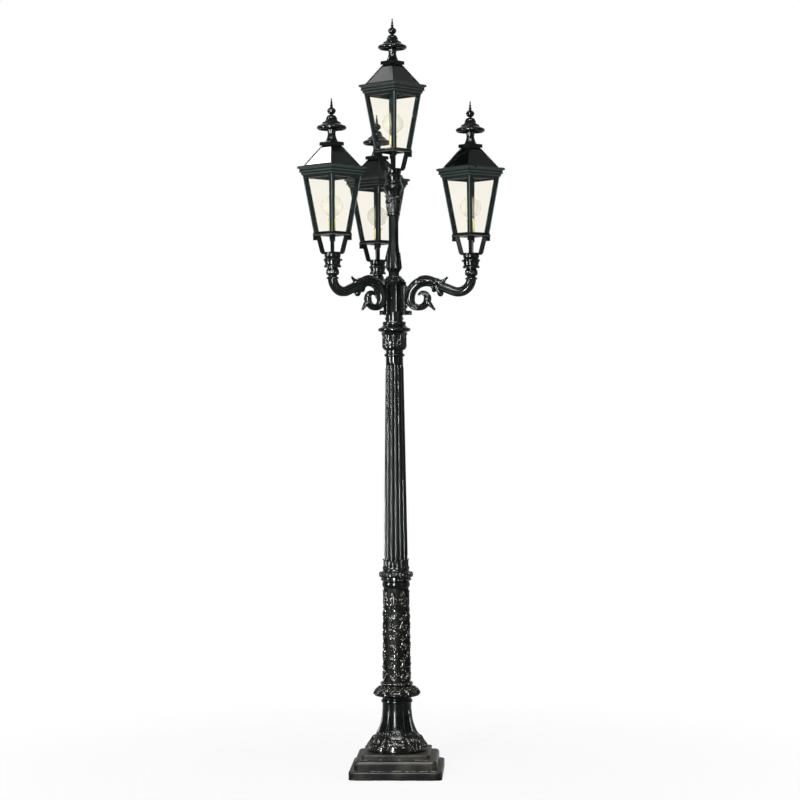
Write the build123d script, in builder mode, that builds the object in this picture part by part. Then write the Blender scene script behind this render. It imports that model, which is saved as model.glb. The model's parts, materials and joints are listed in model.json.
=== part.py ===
from build123d import *

import os
from math import acos, atan2, degrees, hypot, pi

os.makedirs("parts", exist_ok=True)

# Clearances
core_slip = 1.0  # core tube to the castings' bores, radial
tenon_slip = 0.5  # tenons in the lantern sockets, radial
screw_slip = 0.3  # screws and bolts in their holes, radial
seat_gap = 0.3  # a moving piece or a pane to what it rests on
pin_slip = 0.06  # hinge pin in its knuckles, radial

# Plinth: three square steps with rounded corners, hollow from below
plate_side = 508.0
plate_height = 45.0
plate_corner = 34.0
plate_edge = 8.0
step_side = 452.0
step_height = 55.0
step_corner = 28.0
step_edge = 18.0
top_step_side = 372.0
top_step_height = 26.0
top_step_corner = 20.0
top_step_edge = 5.0
plinth_wall = 16.0

# Steel core: anchor flange and tube
flange_side = 320.0
flange_thickness = 16.0
flange_corner = 20.0
anchor_spacing = 240.0
anchor_hole = 18.0
core_diameter = 76.0
core_wall = 5.0

# Pedestal: a bulge, a reeded flare and a ring at the top
pedestal_height = 292.0
bulge_foot_diameter = 324.0
bulge_top_diameter = 280.0
bulge_height = 62.0
bulge_swell = 8.0
flare_foot_diameter = 252.0
flare_foot_height = 75.0
flare_top_diameter = 160.0
flare_top_height = 226.0
flare_hollow = 12.5
pedestal_band_height = 30.0
pedestal_ring_height = 21.0
pedestal_ring_swell = 7.0
pedestal_wall = 14.0
reed_count = 48
reed_depth = 3.0
reed_margin = 14.0
reed_share = 0.45  # groove width over the pitch

# Leaf collar: a drooping skirt with notches between its leaves, and a bead ring
collar_height = 88.0
collar_skirt_diameter = 251.0
collar_skirt_height = 21.0
collar_neck_diameter = 164.0
collar_neck_height = 66.0
collar_swell = 7.0
collar_bead_swell = 10.0
leaf_count = 16
leaf_notch = 9.0

# Lower shaft
shaft_height = 514.0
shaft_foot_diameter = 147.0
shaft_top_diameter = 138.0
shaft_wall = 14.0

# Ring cluster between the shaft and the column
band_height = 120.0
band_bead_height = 36.0
band_bead_swell = 6.0
band_drum_diameter = 162.0
band_torus_foot = 60.0
band_torus_height = 30.0
band_torus_swell = 12.0

# Fluted column
column_height = 1153.0
column_foot_diameter = 130.0
column_top_diameter = 95.0
flute_count = 16
flute_foot_margin = 40.0
flute_top_margin = 46.0
flute_width_share = 0.72  # flute width over its pitch
flute_depth_share = 0.36  # flute depth over its width

# Capital
capital_height = 193.0
astragal_swell = 9.0
capital_bulge_diameter = 126.0
capital_waist_diameter = 122.0
capital_rim_diameter = 180.0
capital_rim_height = 20.0
capital_rim_drop = 54.0
capital_top_diameter = 124.0

# Crown hub: clamp tube, hexagonal hub and cornice
clamp_diameter = 95.0
clamp_height = 52.0
hub_radius = 53.0
hub_height = 150.0
cornice_height = 18.0
cornice_radius = 70.0
cornice_edge = 4.0
hub_roof = 12.0
clamp_screw_count = 4
clamp_screw_turn = -75.0

# Hub cap, stem and stem capital
hub_cap_height = 33.0
hub_cap_foot_diameter = 116.0
hub_cap_top_diameter = 66.0
hub_cap_hollow = 5.0
stem_height = 351.0
stem_sides = 8
stem_neck_diameter = 62.0
stem_neck_height = 20.0
stem_swell_diameter = 87.0
stem_swell_height = 45.0
stem_shank_diameter = 57.0
stem_shank_height = 180.0
stem_ring_height = 24.0
stem_ring_swell = 8.0
stem_capital_height = 156.0
vase_waist_diameter = 72.0
vase_waist_height = 47.0
vase_ring_swell = 5.0
vase_diameter = 109.0
vase_wide_height = 132.0
vase_top_diameter = 92.0
stem_tube_diameter = 42.0
stem_tube_wall = 4.0
stem_foot_thickness = 10.0

# Arms: pipe with a U bend, a C scroll and a volute
arm_turns = {"right": -15.0, "back": 105.0, "left": 225.0}
arm_reach = 443.0
pipe_diameter = 47.0
crest_diameter = 52.0
u_radius = 74.0
u_centre_height = 179.0  # above the foot of the hexagonal hub
scroll_radius = 91.0
scroll_centre_reach = 182.0
scroll_centre_height = 76.0
volute_radii = (52.0, 50.0, 30.0, 28.0)
volute_turns = (90.0, 90.0, 90.0, 45.0)
volute_diameters = (52.0, 31.0, 41.0, 25.0, 13.0)
volute_eye_diameter = 14.0
root_width = 32.0
root_reach = 68.0
root_edge = 6.0
root_drop = 16.0  # below the foot of the hub
tab_reach = 100.0
tab_width = 26.0
tab_height = 24.0
web_width = 24.0
web_foot = 42.0  # above the foot of the hub
web_height = 70.0
swell_foot = (212.0, 160.0)  # reach, and height above the foot of the hub
swell_tip = (278.0, 159.0)
swell_diameter = 44.0
swell_ball = 34.0
thorn_foot = (276.0, 158.0)
thorn_tip = (305.0, 184.0)
thorn_diameter = 22.0
thorn_ball = 13.0
bud_foot = (243.0, 150.0)
bud_tip = (267.0, 99.0)
bud_diameter = 42.0
bud_ball = 35.0
lobe_foot = (224.0, 152.0)
lobe_tip = (230.0, 118.0)
lobe_diameter = 32.0
lobe_ball = 26.0
tail_foot = (191.0, 58.0)
tail_tip = (230.0, 14.0)
tail_diameter = 34.0
tail_ball = 16.0
tip_share = 0.8  # an outgrowth's width where it meets its ball, over the ball's
bolt_diameter = 10.0
bolt_head_diameter = 17.0
bolt_head_height = 7.0
bolt_heights = (30.0, 138.0)  # above the foot of the hub

# Baluster neck at the end of each arm
neck_height = 53.0
neck_ring_diameter = 62.0
neck_ring_height = 16.0
neck_ring_drop = 11.0  # below the start of the U bend
neck_ring_tuck = 2.5  # start of the ring inside the pipe
neck_waist_diameter = 48.0
neck_bead_diameter = 68.0
neck_bead_height = 40.0
neck_rim_height = 4.0
neck_top_diameter = 56.0
tenon_height = 20.0

# Ribbed socket under each lantern
socket_height = 72.0
socket_diameter = 88.0
socket_groove_depth = 4.0
socket_ring_swell = 5.0
socket_ring_height = 12.0
socket_cup_diameter = 61.0
socket_cup_depth = 38.0
set_screw_diameter = 8.0
set_screw_head_diameter = 12.0
set_screw_head_height = 4.0
socket_screw_count = 3

# Cradle: four legs on a boss, and the lower frame
boss_diameter = 80.0
boss_height = 12.0
boss_tenon_height = 36.0
leg_foot_reach = 66.0  # outer side, along the diagonal
leg_top_reach = 88.0
leg_bar = 26.0
leg_width = 20.0
leg_height = 99.0
leg_toe = 10.0
lower_frame_side = 147.0
lower_frame_height = 18.0
lower_frame_edge = 3.0
lower_frame_opening = 104.0
ear_side = 21.0
ear_drop = 24.0
tray_side = 116.0
tray_thickness = 3.0

# Lantern frame: corner bars and cornice
body_foot_side = 140.0
body_head_side = 219.0
body_height = 300.0
body_wall = 6.0
corner_bar = 20.0  # side of the square corner posts
pane_groove = 5.0  # depth of a pane in its post
sill_height = 3.0
head_rail = 8.0
glass_thickness = 3.0
eave_cove_height = 23.0
eave_cove_side = 240.0
frieze_side = 247.0
frieze_height = 21.0
eave_side = 263.0
eave_height = 33.0  # with the frieze
eave_edge = 2.5

# Roof, with its skirt and hinge
roof_side = 212.0
roof_top_side = 76.0
roof_height = 105.0
roof_sheet = 3.5
roof_bearing = 6.0
skirt_depth = 12.0
skirt_wall = 3.0
skirt_clearance = 2.0
hinge_standoff = 7.0
hinge_height = 8.0
knuckle_radius = 6.5
knuckle_length = 30.0
lug_length = 12.0
lug_gap = 1.0
hinge_pin_diameter = 6.0
lock_screw_diameter = 6.0
lock_screw_head_diameter = 11.0
lock_screw_head_height = 5.0
lock_screw_offset = -84.0
lock_screw_drop = 6.0

# Vent neck, bell cap and finial
pad_height = 5.0
collar_plate_side = 93.0
collar_plate_height = 20.0
collar_plate_edge = 5.0
trumpet_foot_diameter = 70.0
trumpet_throat_diameter = 42.0
trumpet_throat_height = 40.0
trumpet_hollow = 2.0
trumpet_top_diameter = 47.0
trumpet_height = 65.0
vent_bore = 24.0
bell_diameter = 159.0
bell_height = 78.0
bell_lip_height = 10.0
bell_shoulder_diameter = 54.0
bell_shoulder_height = 58.0
bell_top_diameter = 30.0
bell_wall = 5.0
finial_height = 91.0
finial_neck_diameter = 17.0
finial_neck_height = 4.0
finial_knob_diameter = 45.0
finial_knob_height = 17.0
finial_knob_swell = 3.0
finial_flange_height = 5.0
finial_shoulder_diameter = 28.0
finial_shoulder_height = 12.0
finial_collar_height = 6.0
finial_spire_diameter = 15.0
finial_spire_hollow = 1.0
finial_tip_diameter = 6.0
stud_diameter = 10.0
stud_length = 24.0

# Lamp and its holder
holder_diameter = 40.0
holder_flange_diameter = 47.0
holder_flange_height = 8.0
holder_height = 74.0
holder_bore = 29.0
holder_bore_depth = 40.0
globe_diameter = 116.0
globe_height = 143.0  # of its centre above the tray
globe_neck_diameter = 38.0
lamp_cap_diameter = 27.0
lamp_cap_length = 34.0

# Turn of each lantern: the way that its hinge faces
lantern_turns = {"right": 43.0, "left": 139.0, "back": 141.0, "top": 141.0}

# Levels of the stack
plinth_top = plate_height + step_height + top_step_height
pedestal_top = plinth_top + pedestal_height
collar_top = pedestal_top + collar_height
shaft_top = collar_top + shaft_height
band_top = shaft_top + band_height
column_top = band_top + column_height
capital_top = column_top + capital_height
hub_foot = capital_top + clamp_height
cornice_foot = hub_foot + hub_height
crown_top = cornice_foot + cornice_height
hub_cap_top = crown_top + hub_cap_height
stem_top = hub_cap_top + stem_height
stem_capital_top = stem_top + stem_capital_height
neck_foot = hub_foot + u_centre_height
neck_top = neck_foot + neck_height
casting_bore = core_diameter + 2 * core_slip
stem_bore = stem_tube_diameter + 2 * tenon_slip
core_top = crown_top - hub_roof - stem_foot_thickness


def half_section(bore, outline):
    """Half section of a turned piece: (radius, height, bulge) from the foot up, closed along its bore."""
    with BuildSketch(Plane.XZ) as section:
        with BuildLine():
            for (r0, z0, _), (r1, z1, bulge) in zip(outline, outline[1:]):
                if bulge:
                    SagittaArc((r0, z0), (r1, z1), -bulge)
                else:
                    Line((r0, z0), (r1, z1))
            foot = (outline[0][0], outline[0][1])
            top = (outline[-1][0], outline[-1][1])
            Polyline(top, (bore / 2, top[1]), (bore / 2, foot[1]), foot)
        make_face()
    return section.sketch


def radial(level, turn):
    """A place on the axis whose Z looks outwards at a turn."""
    return Location((0, 0, level), (0, 0, turn)) * Location((0, 0, 0), (0, 90, 0))


def save(piece, name):
    """Label a finished piece and write it to its own file."""
    piece.part.label = name
    export_step(piece.part, f"parts/{name}.step")


# Plinth
with BuildPart() as base_plinth:
    with BuildSketch():
        RectangleRounded(plate_side, plate_side, plate_corner)
    extrude(amount=plate_height)
    fillet(base_plinth.edges().group_by(Axis.Z)[-1], plate_edge)
    with BuildSketch(Plane.XY.offset(plate_height)):
        RectangleRounded(step_side, step_side, step_corner)
    extrude(amount=step_height)
    fillet(base_plinth.edges().group_by(Axis.Z)[-1], step_edge)
    with BuildSketch(Plane.XY.offset(plate_height + step_height)):
        RectangleRounded(top_step_side, top_step_side, top_step_corner)
    extrude(amount=top_step_height)
    fillet(base_plinth.edges().group_by(Axis.Z)[-1], top_step_edge)
    lower_pocket = step_side - 2 * plinth_wall
    with BuildSketch():
        RectangleRounded(lower_pocket, lower_pocket, step_corner)
    extrude(amount=plate_height + step_height - step_edge - plinth_wall, mode=Mode.SUBTRACT)
    upper_pocket = top_step_side - 2 * plinth_wall
    with BuildSketch():
        RectangleRounded(upper_pocket, upper_pocket, top_step_corner)
    extrude(amount=plinth_top - plinth_wall, mode=Mode.SUBTRACT)
    with Locations((0, 0, plinth_top)):
        Hole(casting_bore / 2)
save(base_plinth, "base_plinth")

# Anchor flange and core tube
with BuildPart() as anchor_flange:
    with BuildSketch():
        RectangleRounded(flange_side, flange_side, flange_corner)
        with GridLocations(anchor_spacing, anchor_spacing, 2, 2):
            Circle(anchor_hole / 2, mode=Mode.SUBTRACT)
        Circle(core_diameter / 2 - core_wall, mode=Mode.SUBTRACT)
    extrude(amount=flange_thickness)
save(anchor_flange, "anchor_flange")

with BuildPart() as core_tube:
    with BuildSketch(Plane.XY.offset(flange_thickness)):
        Circle(core_diameter / 2)
        Circle(core_diameter / 2 - core_wall, mode=Mode.SUBTRACT)
    extrude(amount=core_top - flange_thickness)
save(core_tube, "core_tube")

# Pedestal
flare_foot = (flare_foot_diameter / 2, plinth_top + flare_foot_height)
flare_top = (flare_top_diameter / 2, plinth_top + flare_top_height)
with BuildPart() as pedestal:
    ring_foot = pedestal_top - pedestal_band_height
    revolve(
        half_section(
            casting_bore,
            [
                (bulge_foot_diameter / 2, plinth_top, 0),
                (bulge_top_diameter / 2, plinth_top + bulge_height, bulge_swell),
                (*flare_foot, bulge_swell / 2),
                (*flare_top, -flare_hollow),
                (flare_top_diameter / 2, ring_foot, 0),
                (flare_top_diameter / 2, ring_foot + pedestal_ring_height, pedestal_ring_swell),
                (flare_top_diameter / 2, pedestal_top, 0),
            ],
        )
    )
    # The hollow inside stops a wall below the ring
    revolve(
        half_section(
            0,
            [
                (bulge_top_diameter / 2 - pedestal_wall, plinth_top, 0),
                (flare_foot[0] - pedestal_wall, flare_foot[1] - pedestal_wall, 0),
                (flare_top[0] - pedestal_wall, flare_top[1], -flare_hollow),
                (flare_top[0] - pedestal_wall, ring_foot, 0),
            ],
        ),
        mode=Mode.SUBTRACT,
    )
    # Grooves between the reeds follow the flare
    with BuildSketch(Plane.XZ) as reed_groove:
        with BuildLine():
            low = (flare_foot[0] - reed_depth, flare_foot[1] + reed_margin)
            high = (flare_top[0] - reed_depth, flare_top[1] - 2 * reed_margin)
            SagittaArc(low, high, flare_hollow)
            Polyline(high, (flare_foot[0], high[1]), (flare_foot[0] + reed_margin, low[1]), low)
        make_face()
    with PolarLocations(0, reed_count):
        add(
            revolve(
                reed_groove.sketch,
                Axis.Z,
                revolution_arc=360 / reed_count * reed_share,
                mode=Mode.PRIVATE,
            ),
            mode=Mode.SUBTRACT,
        )
save(pedestal, "pedestal")

# Leaf collar
with BuildPart() as leaf_collar:
    skirt_edge = pedestal_top + collar_skirt_height
    neck_level = pedestal_top + collar_neck_height
    revolve(
        half_section(
            casting_bore,
            [
                (flare_top_diameter / 2, pedestal_top, 0),
                (collar_skirt_diameter / 2 - collar_swell, skirt_edge - collar_skirt_height / 2, 0),
                (collar_skirt_diameter / 2, skirt_edge, collar_swell / 3),
                (collar_neck_diameter / 2, neck_level - collar_swell, collar_swell),
                (collar_neck_diameter / 2, neck_level, 0),
                (shaft_foot_diameter / 2, collar_top, collar_bead_swell),
            ],
        )
    )
    with PolarLocations(collar_skirt_diameter / 2 + leaf_notch / 2, leaf_count):
        with Locations((0, 0, skirt_edge)):
            Cylinder(leaf_notch, 2 * collar_skirt_height, mode=Mode.SUBTRACT)
save(leaf_collar, "leaf_collar")

# Lower shaft
with BuildPart() as lower_shaft:
    revolve(
        half_section(
            casting_bore,
            [(shaft_foot_diameter / 2, collar_top, 0), (shaft_top_diameter / 2, shaft_top, 0)],
        )
    )
    revolve(
        half_section(
            0,
            [
                (shaft_foot_diameter / 2 - shaft_wall, collar_top + shaft_wall, 0),
                (shaft_top_diameter / 2 - shaft_wall, shaft_top - shaft_wall, 0),
            ],
        ),
        mode=Mode.SUBTRACT,
    )
save(lower_shaft, "lower_shaft")

# Ring cluster
with BuildPart() as shaft_band:
    bead_top = shaft_top + band_bead_height
    torus_foot = shaft_top + band_torus_foot
    torus_top = torus_foot + band_torus_height
    drum = band_drum_diameter / 2
    revolve(
        half_section(
            casting_bore,
            [
                (shaft_top_diameter / 2, shaft_top, 0),
                (shaft_top_diameter / 2 + band_bead_swell / 2, bead_top, band_bead_swell),
                (drum, bead_top + band_bead_swell, 0),
                (drum, torus_foot, 0),
                (drum, torus_top, band_torus_swell),
                (shaft_top_diameter / 2 + band_bead_swell / 2, torus_top + band_bead_swell, -band_bead_swell / 4),
                (column_foot_diameter / 2, band_top, band_bead_swell / 2),
            ],
        )
    )
save(shaft_band, "shaft_band")

# Fluted column: a tapered round-ended cutter, repeated round the axis
flute_foot = band_top + flute_foot_margin
flute_top = column_top - flute_top_margin


def column_radius(level):
    """Radius of the column's surface at a level."""
    share = (level - band_top) / column_height
    return column_foot_diameter / 2 + share * (column_top_diameter - column_foot_diameter) / 2


def flute_width(level):
    """Width of a flute across the column's surface."""
    return flute_width_share * 2 * column_radius(level) * pi / flute_count


def flute_radius(level):
    """Radius of the round that a flute is cut with, from its width and depth."""
    width = flute_width(level)
    depth = flute_depth_share * width
    return (width**2 / 4 + depth**2) / (2 * depth)


def flute_reach(level):
    """Distance of that round's centre from the axis."""
    return column_radius(level) - flute_depth_share * flute_width(level) + flute_radius(level)


with BuildPart() as flute_cutter:
    for level in (flute_foot, flute_top):
        with BuildSketch(Plane.XY.offset(level)):
            with Locations((flute_reach(level), 0)):
                Circle(flute_radius(level))
    loft()
    for level in (flute_foot, flute_top):
        with Locations((flute_reach(level), 0, level)):
            Sphere(flute_radius(level))

with BuildPart() as fluted_column:
    revolve(
        half_section(
            casting_bore,
            [(column_foot_diameter / 2, band_top, 0), (column_top_diameter / 2, column_top, 0)],
        )
    )
    with PolarLocations(0, flute_count):
        add(flute_cutter.part, mode=Mode.SUBTRACT)
save(fluted_column, "fluted_column")

# Capital
with BuildPart() as capital:
    top_radius = column_top_diameter / 2
    rim_foot = capital_top - capital_rim_drop
    revolve(
        half_section(
            casting_bore,
            [
                (top_radius, column_top, 0),
                (top_radius, column_top + 2 * astragal_swell, astragal_swell),
                (top_radius, column_top + 4 * astragal_swell, 0),
                (capital_bulge_diameter / 2 - astragal_swell, column_top + 4 * astragal_swell, 0),
                (capital_waist_diameter / 2, column_top + 7 * astragal_swell, astragal_swell / 2),
                (capital_waist_diameter / 2, rim_foot - 4 * astragal_swell, 0),
                (capital_rim_diameter / 2 - astragal_swell, rim_foot, -astragal_swell),
                (capital_rim_diameter / 2 - astragal_swell, rim_foot + capital_rim_height, astragal_swell),
                (capital_top_diameter / 2, capital_top - 2 * astragal_swell, -astragal_swell / 4),
                (capital_top_diameter / 2, capital_top, astragal_swell / 4),
            ],
        )
    )
save(capital, "capital")

# Crown hub, with holes for the arm bolts and the clamp screws
clamp_level = capital_top + clamp_height / 3
with BuildPart() as crown_hub:
    with BuildSketch(Plane.XY.offset(capital_top)):
        Circle(clamp_diameter / 2)
    extrude(amount=clamp_height)
    with BuildSketch(Plane.XY.offset(hub_foot)):
        RegularPolygon(hub_radius, 6, rotation=arm_turns["right"])
    extrude(amount=hub_height)
    with BuildSketch(Plane.XY.offset(cornice_foot)):
        RegularPolygon(cornice_radius, 6, rotation=arm_turns["right"])
    extrude(amount=cornice_height)
    chamfer(crown_hub.edges().group_by(Axis.Z)[-1], cornice_edge)
    with Locations((0, 0, capital_top)):
        Cylinder(
            casting_bore / 2,
            crown_top - hub_roof - capital_top,
            align=(Align.CENTER, Align.CENTER, Align.MIN),
            mode=Mode.SUBTRACT,
        )
    with Locations((0, 0, crown_top)):
        Hole(stem_bore / 2)
    for turn in arm_turns.values():
        for height in bolt_heights:
            with Locations(radial(hub_foot + height, turn)):
                Cylinder(
                    bolt_diameter / 2 + screw_slip,
                    hub_radius,
                    align=(Align.CENTER, Align.CENTER, Align.MIN),
                    mode=Mode.SUBTRACT,
                )
    for place in range(clamp_screw_count):
        turn = clamp_screw_turn + place * 360 / clamp_screw_count
        with Locations(radial(clamp_level, turn)):
            Cylinder(
                set_screw_diameter / 2 + screw_slip,
                clamp_diameter,
                align=(Align.CENTER, Align.CENTER, Align.MIN),
                mode=Mode.SUBTRACT,
            )
save(crown_hub, "crown_hub")

# Hub cap, stem and stem capital
with BuildPart() as hub_cap:
    revolve(
        half_section(
            stem_bore,
            [
                (hub_cap_foot_diameter / 2, crown_top, 0),
                (hub_cap_foot_diameter / 2, crown_top + hub_cap_height / 5, 0),
                (hub_cap_top_diameter / 2, hub_cap_top, -hub_cap_hollow),
            ],
        )
    )
save(hub_cap, "hub_cap")

with BuildPart() as stem:
    stem_levels = [
        (stem_neck_diameter, hub_cap_top),
        (stem_neck_diameter, hub_cap_top + stem_neck_height),
        (stem_swell_diameter, hub_cap_top + stem_swell_height),
        (stem_shank_diameter, hub_cap_top + stem_shank_height),
        (stem_shank_diameter, stem_top - stem_ring_height),
    ]
    for diameter, level in stem_levels:
        with BuildSketch(Plane.XY.offset(level)):
            RegularPolygon(diameter / 2, stem_sides, rotation=180 / stem_sides)
    loft(ruled=True)
    revolve(
        half_section(
            stem_bore,
            [
                (stem_shank_diameter / 2, stem_top - stem_ring_height, 0),
                (stem_shank_diameter / 2, stem_top, stem_ring_swell),
            ],
        )
    )
    with Locations((0, 0, stem_top)):
        Hole(stem_bore / 2)
save(stem, "stem")

with BuildPart() as stem_capital:
    vase_ring = stem_top + vase_waist_height
    vase_wide = stem_top + vase_wide_height
    revolve(
        half_section(
            stem_bore,
            [
                (vase_waist_diameter / 2, stem_top, 0),
                (vase_waist_diameter / 2, vase_ring, 0),
                (vase_waist_diameter / 2, vase_ring + 4 * vase_ring_swell, vase_ring_swell),
                (vase_diameter / 2, vase_wide, -vase_ring_swell),
                (vase_top_diameter / 2, stem_capital_top, vase_ring_swell / 2),
            ],
        )
    )
save(stem_capital, "stem_capital")

with BuildPart() as stem_tube:
    with BuildSketch(Plane.XY.offset(core_top)):
        Circle(core_diameter / 2)
    extrude(amount=stem_foot_thickness)
    with BuildSketch(Plane.XY.offset(core_top)):
        Circle(stem_tube_diameter / 2)
    extrude(amount=stem_capital_top + tenon_height - core_top)
    with Locations((0, 0, stem_capital_top + tenon_height)):
        Hole(stem_tube_diameter / 2 - stem_tube_wall)
save(stem_tube, "stem_tube")

# Arm, drawn in the XZ plane with its reach along X
u_centre = (arm_reach - u_radius, neck_foot)
scroll_centre = (scroll_centre_reach, hub_foot + scroll_centre_height)
centres_apart = hypot(u_centre[0] - scroll_centre[0], u_centre[1] - scroll_centre[1])
scroll_start = degrees(
    atan2(u_centre[1] - scroll_centre[1], u_centre[0] - scroll_centre[0])
    + acos((u_radius + scroll_radius) / centres_apart)
)
crest_turn = 90 - scroll_start


def stub(foot, tip, foot_diameter, ball_diameter):
    """Tapered outgrowth of the arm between two points of its plane, with a ball at its tip."""
    start = Vector(foot[0], 0, hub_foot + foot[1])
    end = Vector(tip[0], 0, hub_foot + tip[1])
    with BuildPart() as outgrowth:
        for point, diameter in ((start, foot_diameter), (end, tip_share * ball_diameter)):
            with BuildSketch(Plane(origin=point, x_dir=(0, 1, 0), z_dir=end - start)):
                Circle(diameter / 2)
        loft()
        with Locations(end):
            Sphere(ball_diameter / 2)
    return outgrowth.part


with BuildPart() as arm:
    # The scroll swells from the pipe to its crest and thins again towards the volute
    with BuildLine(Plane.XZ) as scroll_path:
        rise = CenterArc(scroll_centre, scroll_radius, scroll_start, crest_turn)
        stretch = CenterArc(scroll_centre, scroll_radius, 90, 90)
        stretches = [rise, stretch]
        for radius, turn in zip(volute_radii, volute_turns):
            stretch = JernArc(stretch @ 1, stretch % 1, radius, turn)
            stretches.append(stretch)
    with BuildLine(Plane.XZ) as pipe_path:
        bend = JernArc((arm_reach, neck_foot), (0, -1), u_radius, -(180 - scroll_start))
        Line(bend @ 1, rise @ 0)
    with BuildSketch(Plane(origin=(arm_reach, 0, neck_foot), z_dir=(0, 0, -1))):
        Circle(pipe_diameter / 2)
    sweep(path=pipe_path.wire())
    diameters = (pipe_diameter, crest_diameter, *volute_diameters)
    for stretch, thick, thin in zip(stretches, diameters, diameters[1:]):
        for end, diameter in ((0, thick), (1, thin)):
            with BuildSketch(Plane(origin=stretch @ end, x_dir=(0, 1, 0), z_dir=stretch % end)):
                Circle(diameter / 2)
        sweep(path=stretch, multisection=True)
    with Locations(stretches[-1] @ 1):
        Sphere(volute_eye_diameter / 2)
    add(stub(swell_foot, swell_tip, swell_diameter, swell_ball))
    add(stub(thorn_foot, thorn_tip, thorn_diameter, thorn_ball))
    add(stub(bud_foot, bud_tip, bud_diameter, bud_ball))
    add(stub(lobe_foot, lobe_tip, lobe_diameter, lobe_ball))
    add(stub(tail_foot, tail_tip, tail_diameter, tail_ball))
    # Root: a saddle over a corner of the hub
    with BuildSketch(Plane.XY.offset(hub_foot - root_drop)):
        with Locations((root_reach / 2, 0)):
            RectangleRounded(root_reach, root_width, root_edge)
    extrude(amount=hub_height + root_drop)
    with BuildSketch(Plane.XY.offset(hub_foot - root_drop)):
        with Locations((tab_reach / 2, 0)):
            RectangleRounded(tab_reach, tab_width, root_edge)
    extrude(amount=tab_height)
    web_reach = scroll_centre_reach - scroll_radius
    with BuildSketch(Plane.XY.offset(hub_foot + web_foot)):
        with Locations((web_reach / 2, 0)):
            Rectangle(web_reach, web_width)
    extrude(amount=web_height)
    with BuildSketch(Plane.XY.offset(hub_foot)):
        RegularPolygon(hub_radius, 6)
    extrude(amount=hub_height, mode=Mode.SUBTRACT)
    with BuildSketch(Plane.XY.offset(hub_foot - root_drop)):
        Circle(hub_radius + seat_gap)
    extrude(amount=root_drop, mode=Mode.SUBTRACT)
    for height in bolt_heights:
        with Locations(radial(hub_foot + height, 0)):
            Cylinder(
                bolt_diameter / 2 + screw_slip,
                root_reach,
                align=(Align.CENTER, Align.CENTER, Align.MIN),
                mode=Mode.SUBTRACT,
            )
    # Neck under the lantern, turned about the lantern's axis
    ring_foot = neck_foot - neck_ring_drop
    bead_top = neck_top - neck_rim_height
    bead_swell = neck_bead_diameter / 2 - (neck_waist_diameter + neck_top_diameter) / 4
    neck = half_section(
        0,
        [
            (pipe_diameter / 4, ring_foot, 0),
            (pipe_diameter / 2 - neck_ring_tuck, ring_foot + neck_ring_height / 4, 0),
            (neck_waist_diameter / 2, ring_foot + neck_ring_height, (neck_ring_diameter - pipe_diameter) / 2),
            (neck_waist_diameter / 2, bead_top - neck_bead_height, -1),
            (neck_top_diameter / 2, bead_top, bead_swell),
            (neck_top_diameter / 2, neck_top, 0),
            (stem_tube_diameter / 2, neck_top, 0),
            (stem_tube_diameter / 2, neck_top + tenon_height, 0),
        ],
    )
    with Locations((arm_reach, 0, 0)):
        add(revolve(neck, Axis.Z, mode=Mode.PRIVATE))

for name, turn in arm_turns.items():
    with BuildPart() as placed_arm:
        with Locations(Location((0, 0, 0), (0, 0, turn))):
            add(arm.part)
    save(placed_arm, f"arm_{name}")

with BuildPart() as arm_bolts:
    for turn in arm_turns.values():
        for height in bolt_heights:
            with Locations(radial(hub_foot + height, turn)):
                with Locations((0, 0, casting_bore / 2)):
                    Cylinder(
                        bolt_diameter / 2,
                        root_reach - casting_bore / 2,
                        align=(Align.CENTER, Align.CENTER, Align.MIN),
                    )
                with Locations((0, 0, root_reach)):
                    Cylinder(
                        bolt_head_diameter / 2,
                        bolt_head_height,
                        align=(Align.CENTER, Align.CENTER, Align.MIN),
                    )
save(arm_bolts, "arm_bolts")

# Lantern pieces stand on Z = 0 at the top of the socket, with the hinge on the +X side
lower_frame_foot = leg_height
tray_top = lower_frame_foot + lower_frame_height
body_foot = tray_top
body_head = body_foot + body_height
eave_foot = body_head + eave_cove_height
eave_top = eave_foot + eave_height
roof_foot = eave_top + seat_gap
roof_top = roof_foot + roof_height
neck_plate_foot = roof_top + pad_height
trumpet_foot = neck_plate_foot + collar_plate_height
cap_foot = trumpet_foot + trumpet_height
cap_top = cap_foot + bell_height
opening_side = roof_side - 2 * roof_bearing
hinge_reach = roof_side / 2 + hinge_standoff
hinge_level = eave_top + hinge_height
lug_centre = knuckle_length / 2 + lug_gap + lug_length / 2
lock_level = roof_foot - lock_screw_drop

with BuildPart() as socket:
    r = socket_diameter / 2
    groove = -2 * socket_ring_height
    middle = groove - socket_ring_height
    revolve(
        half_section(
            stem_bore,
            [
                (r, -socket_height, 0),
                (r, -socket_height + socket_ring_height, socket_ring_swell / 2),
                (r - socket_groove_depth, -socket_height + 1.5 * socket_ring_height, 0),
                (r, middle, 0),
                (r, groove, socket_ring_swell),
                (r - socket_groove_depth, groove + socket_ring_height / 2, 0),
                (r, -socket_ring_height, 0),
                (r, 0, 0),
            ],
        )
    )
    with Locations((0, 0, 0)):
        Cylinder(
            socket_cup_diameter / 2,
            socket_cup_depth,
            align=(Align.CENTER, Align.CENTER, Align.MAX),
            mode=Mode.SUBTRACT,
        )
    for place in range(socket_screw_count):
        with Locations(radial((groove + middle) / 2, place * 360 / socket_screw_count)):
            Cylinder(
                set_screw_diameter / 2 + screw_slip,
                socket_diameter,
                align=(Align.CENTER, Align.CENTER, Align.MIN),
                mode=Mode.SUBTRACT,
            )

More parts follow.
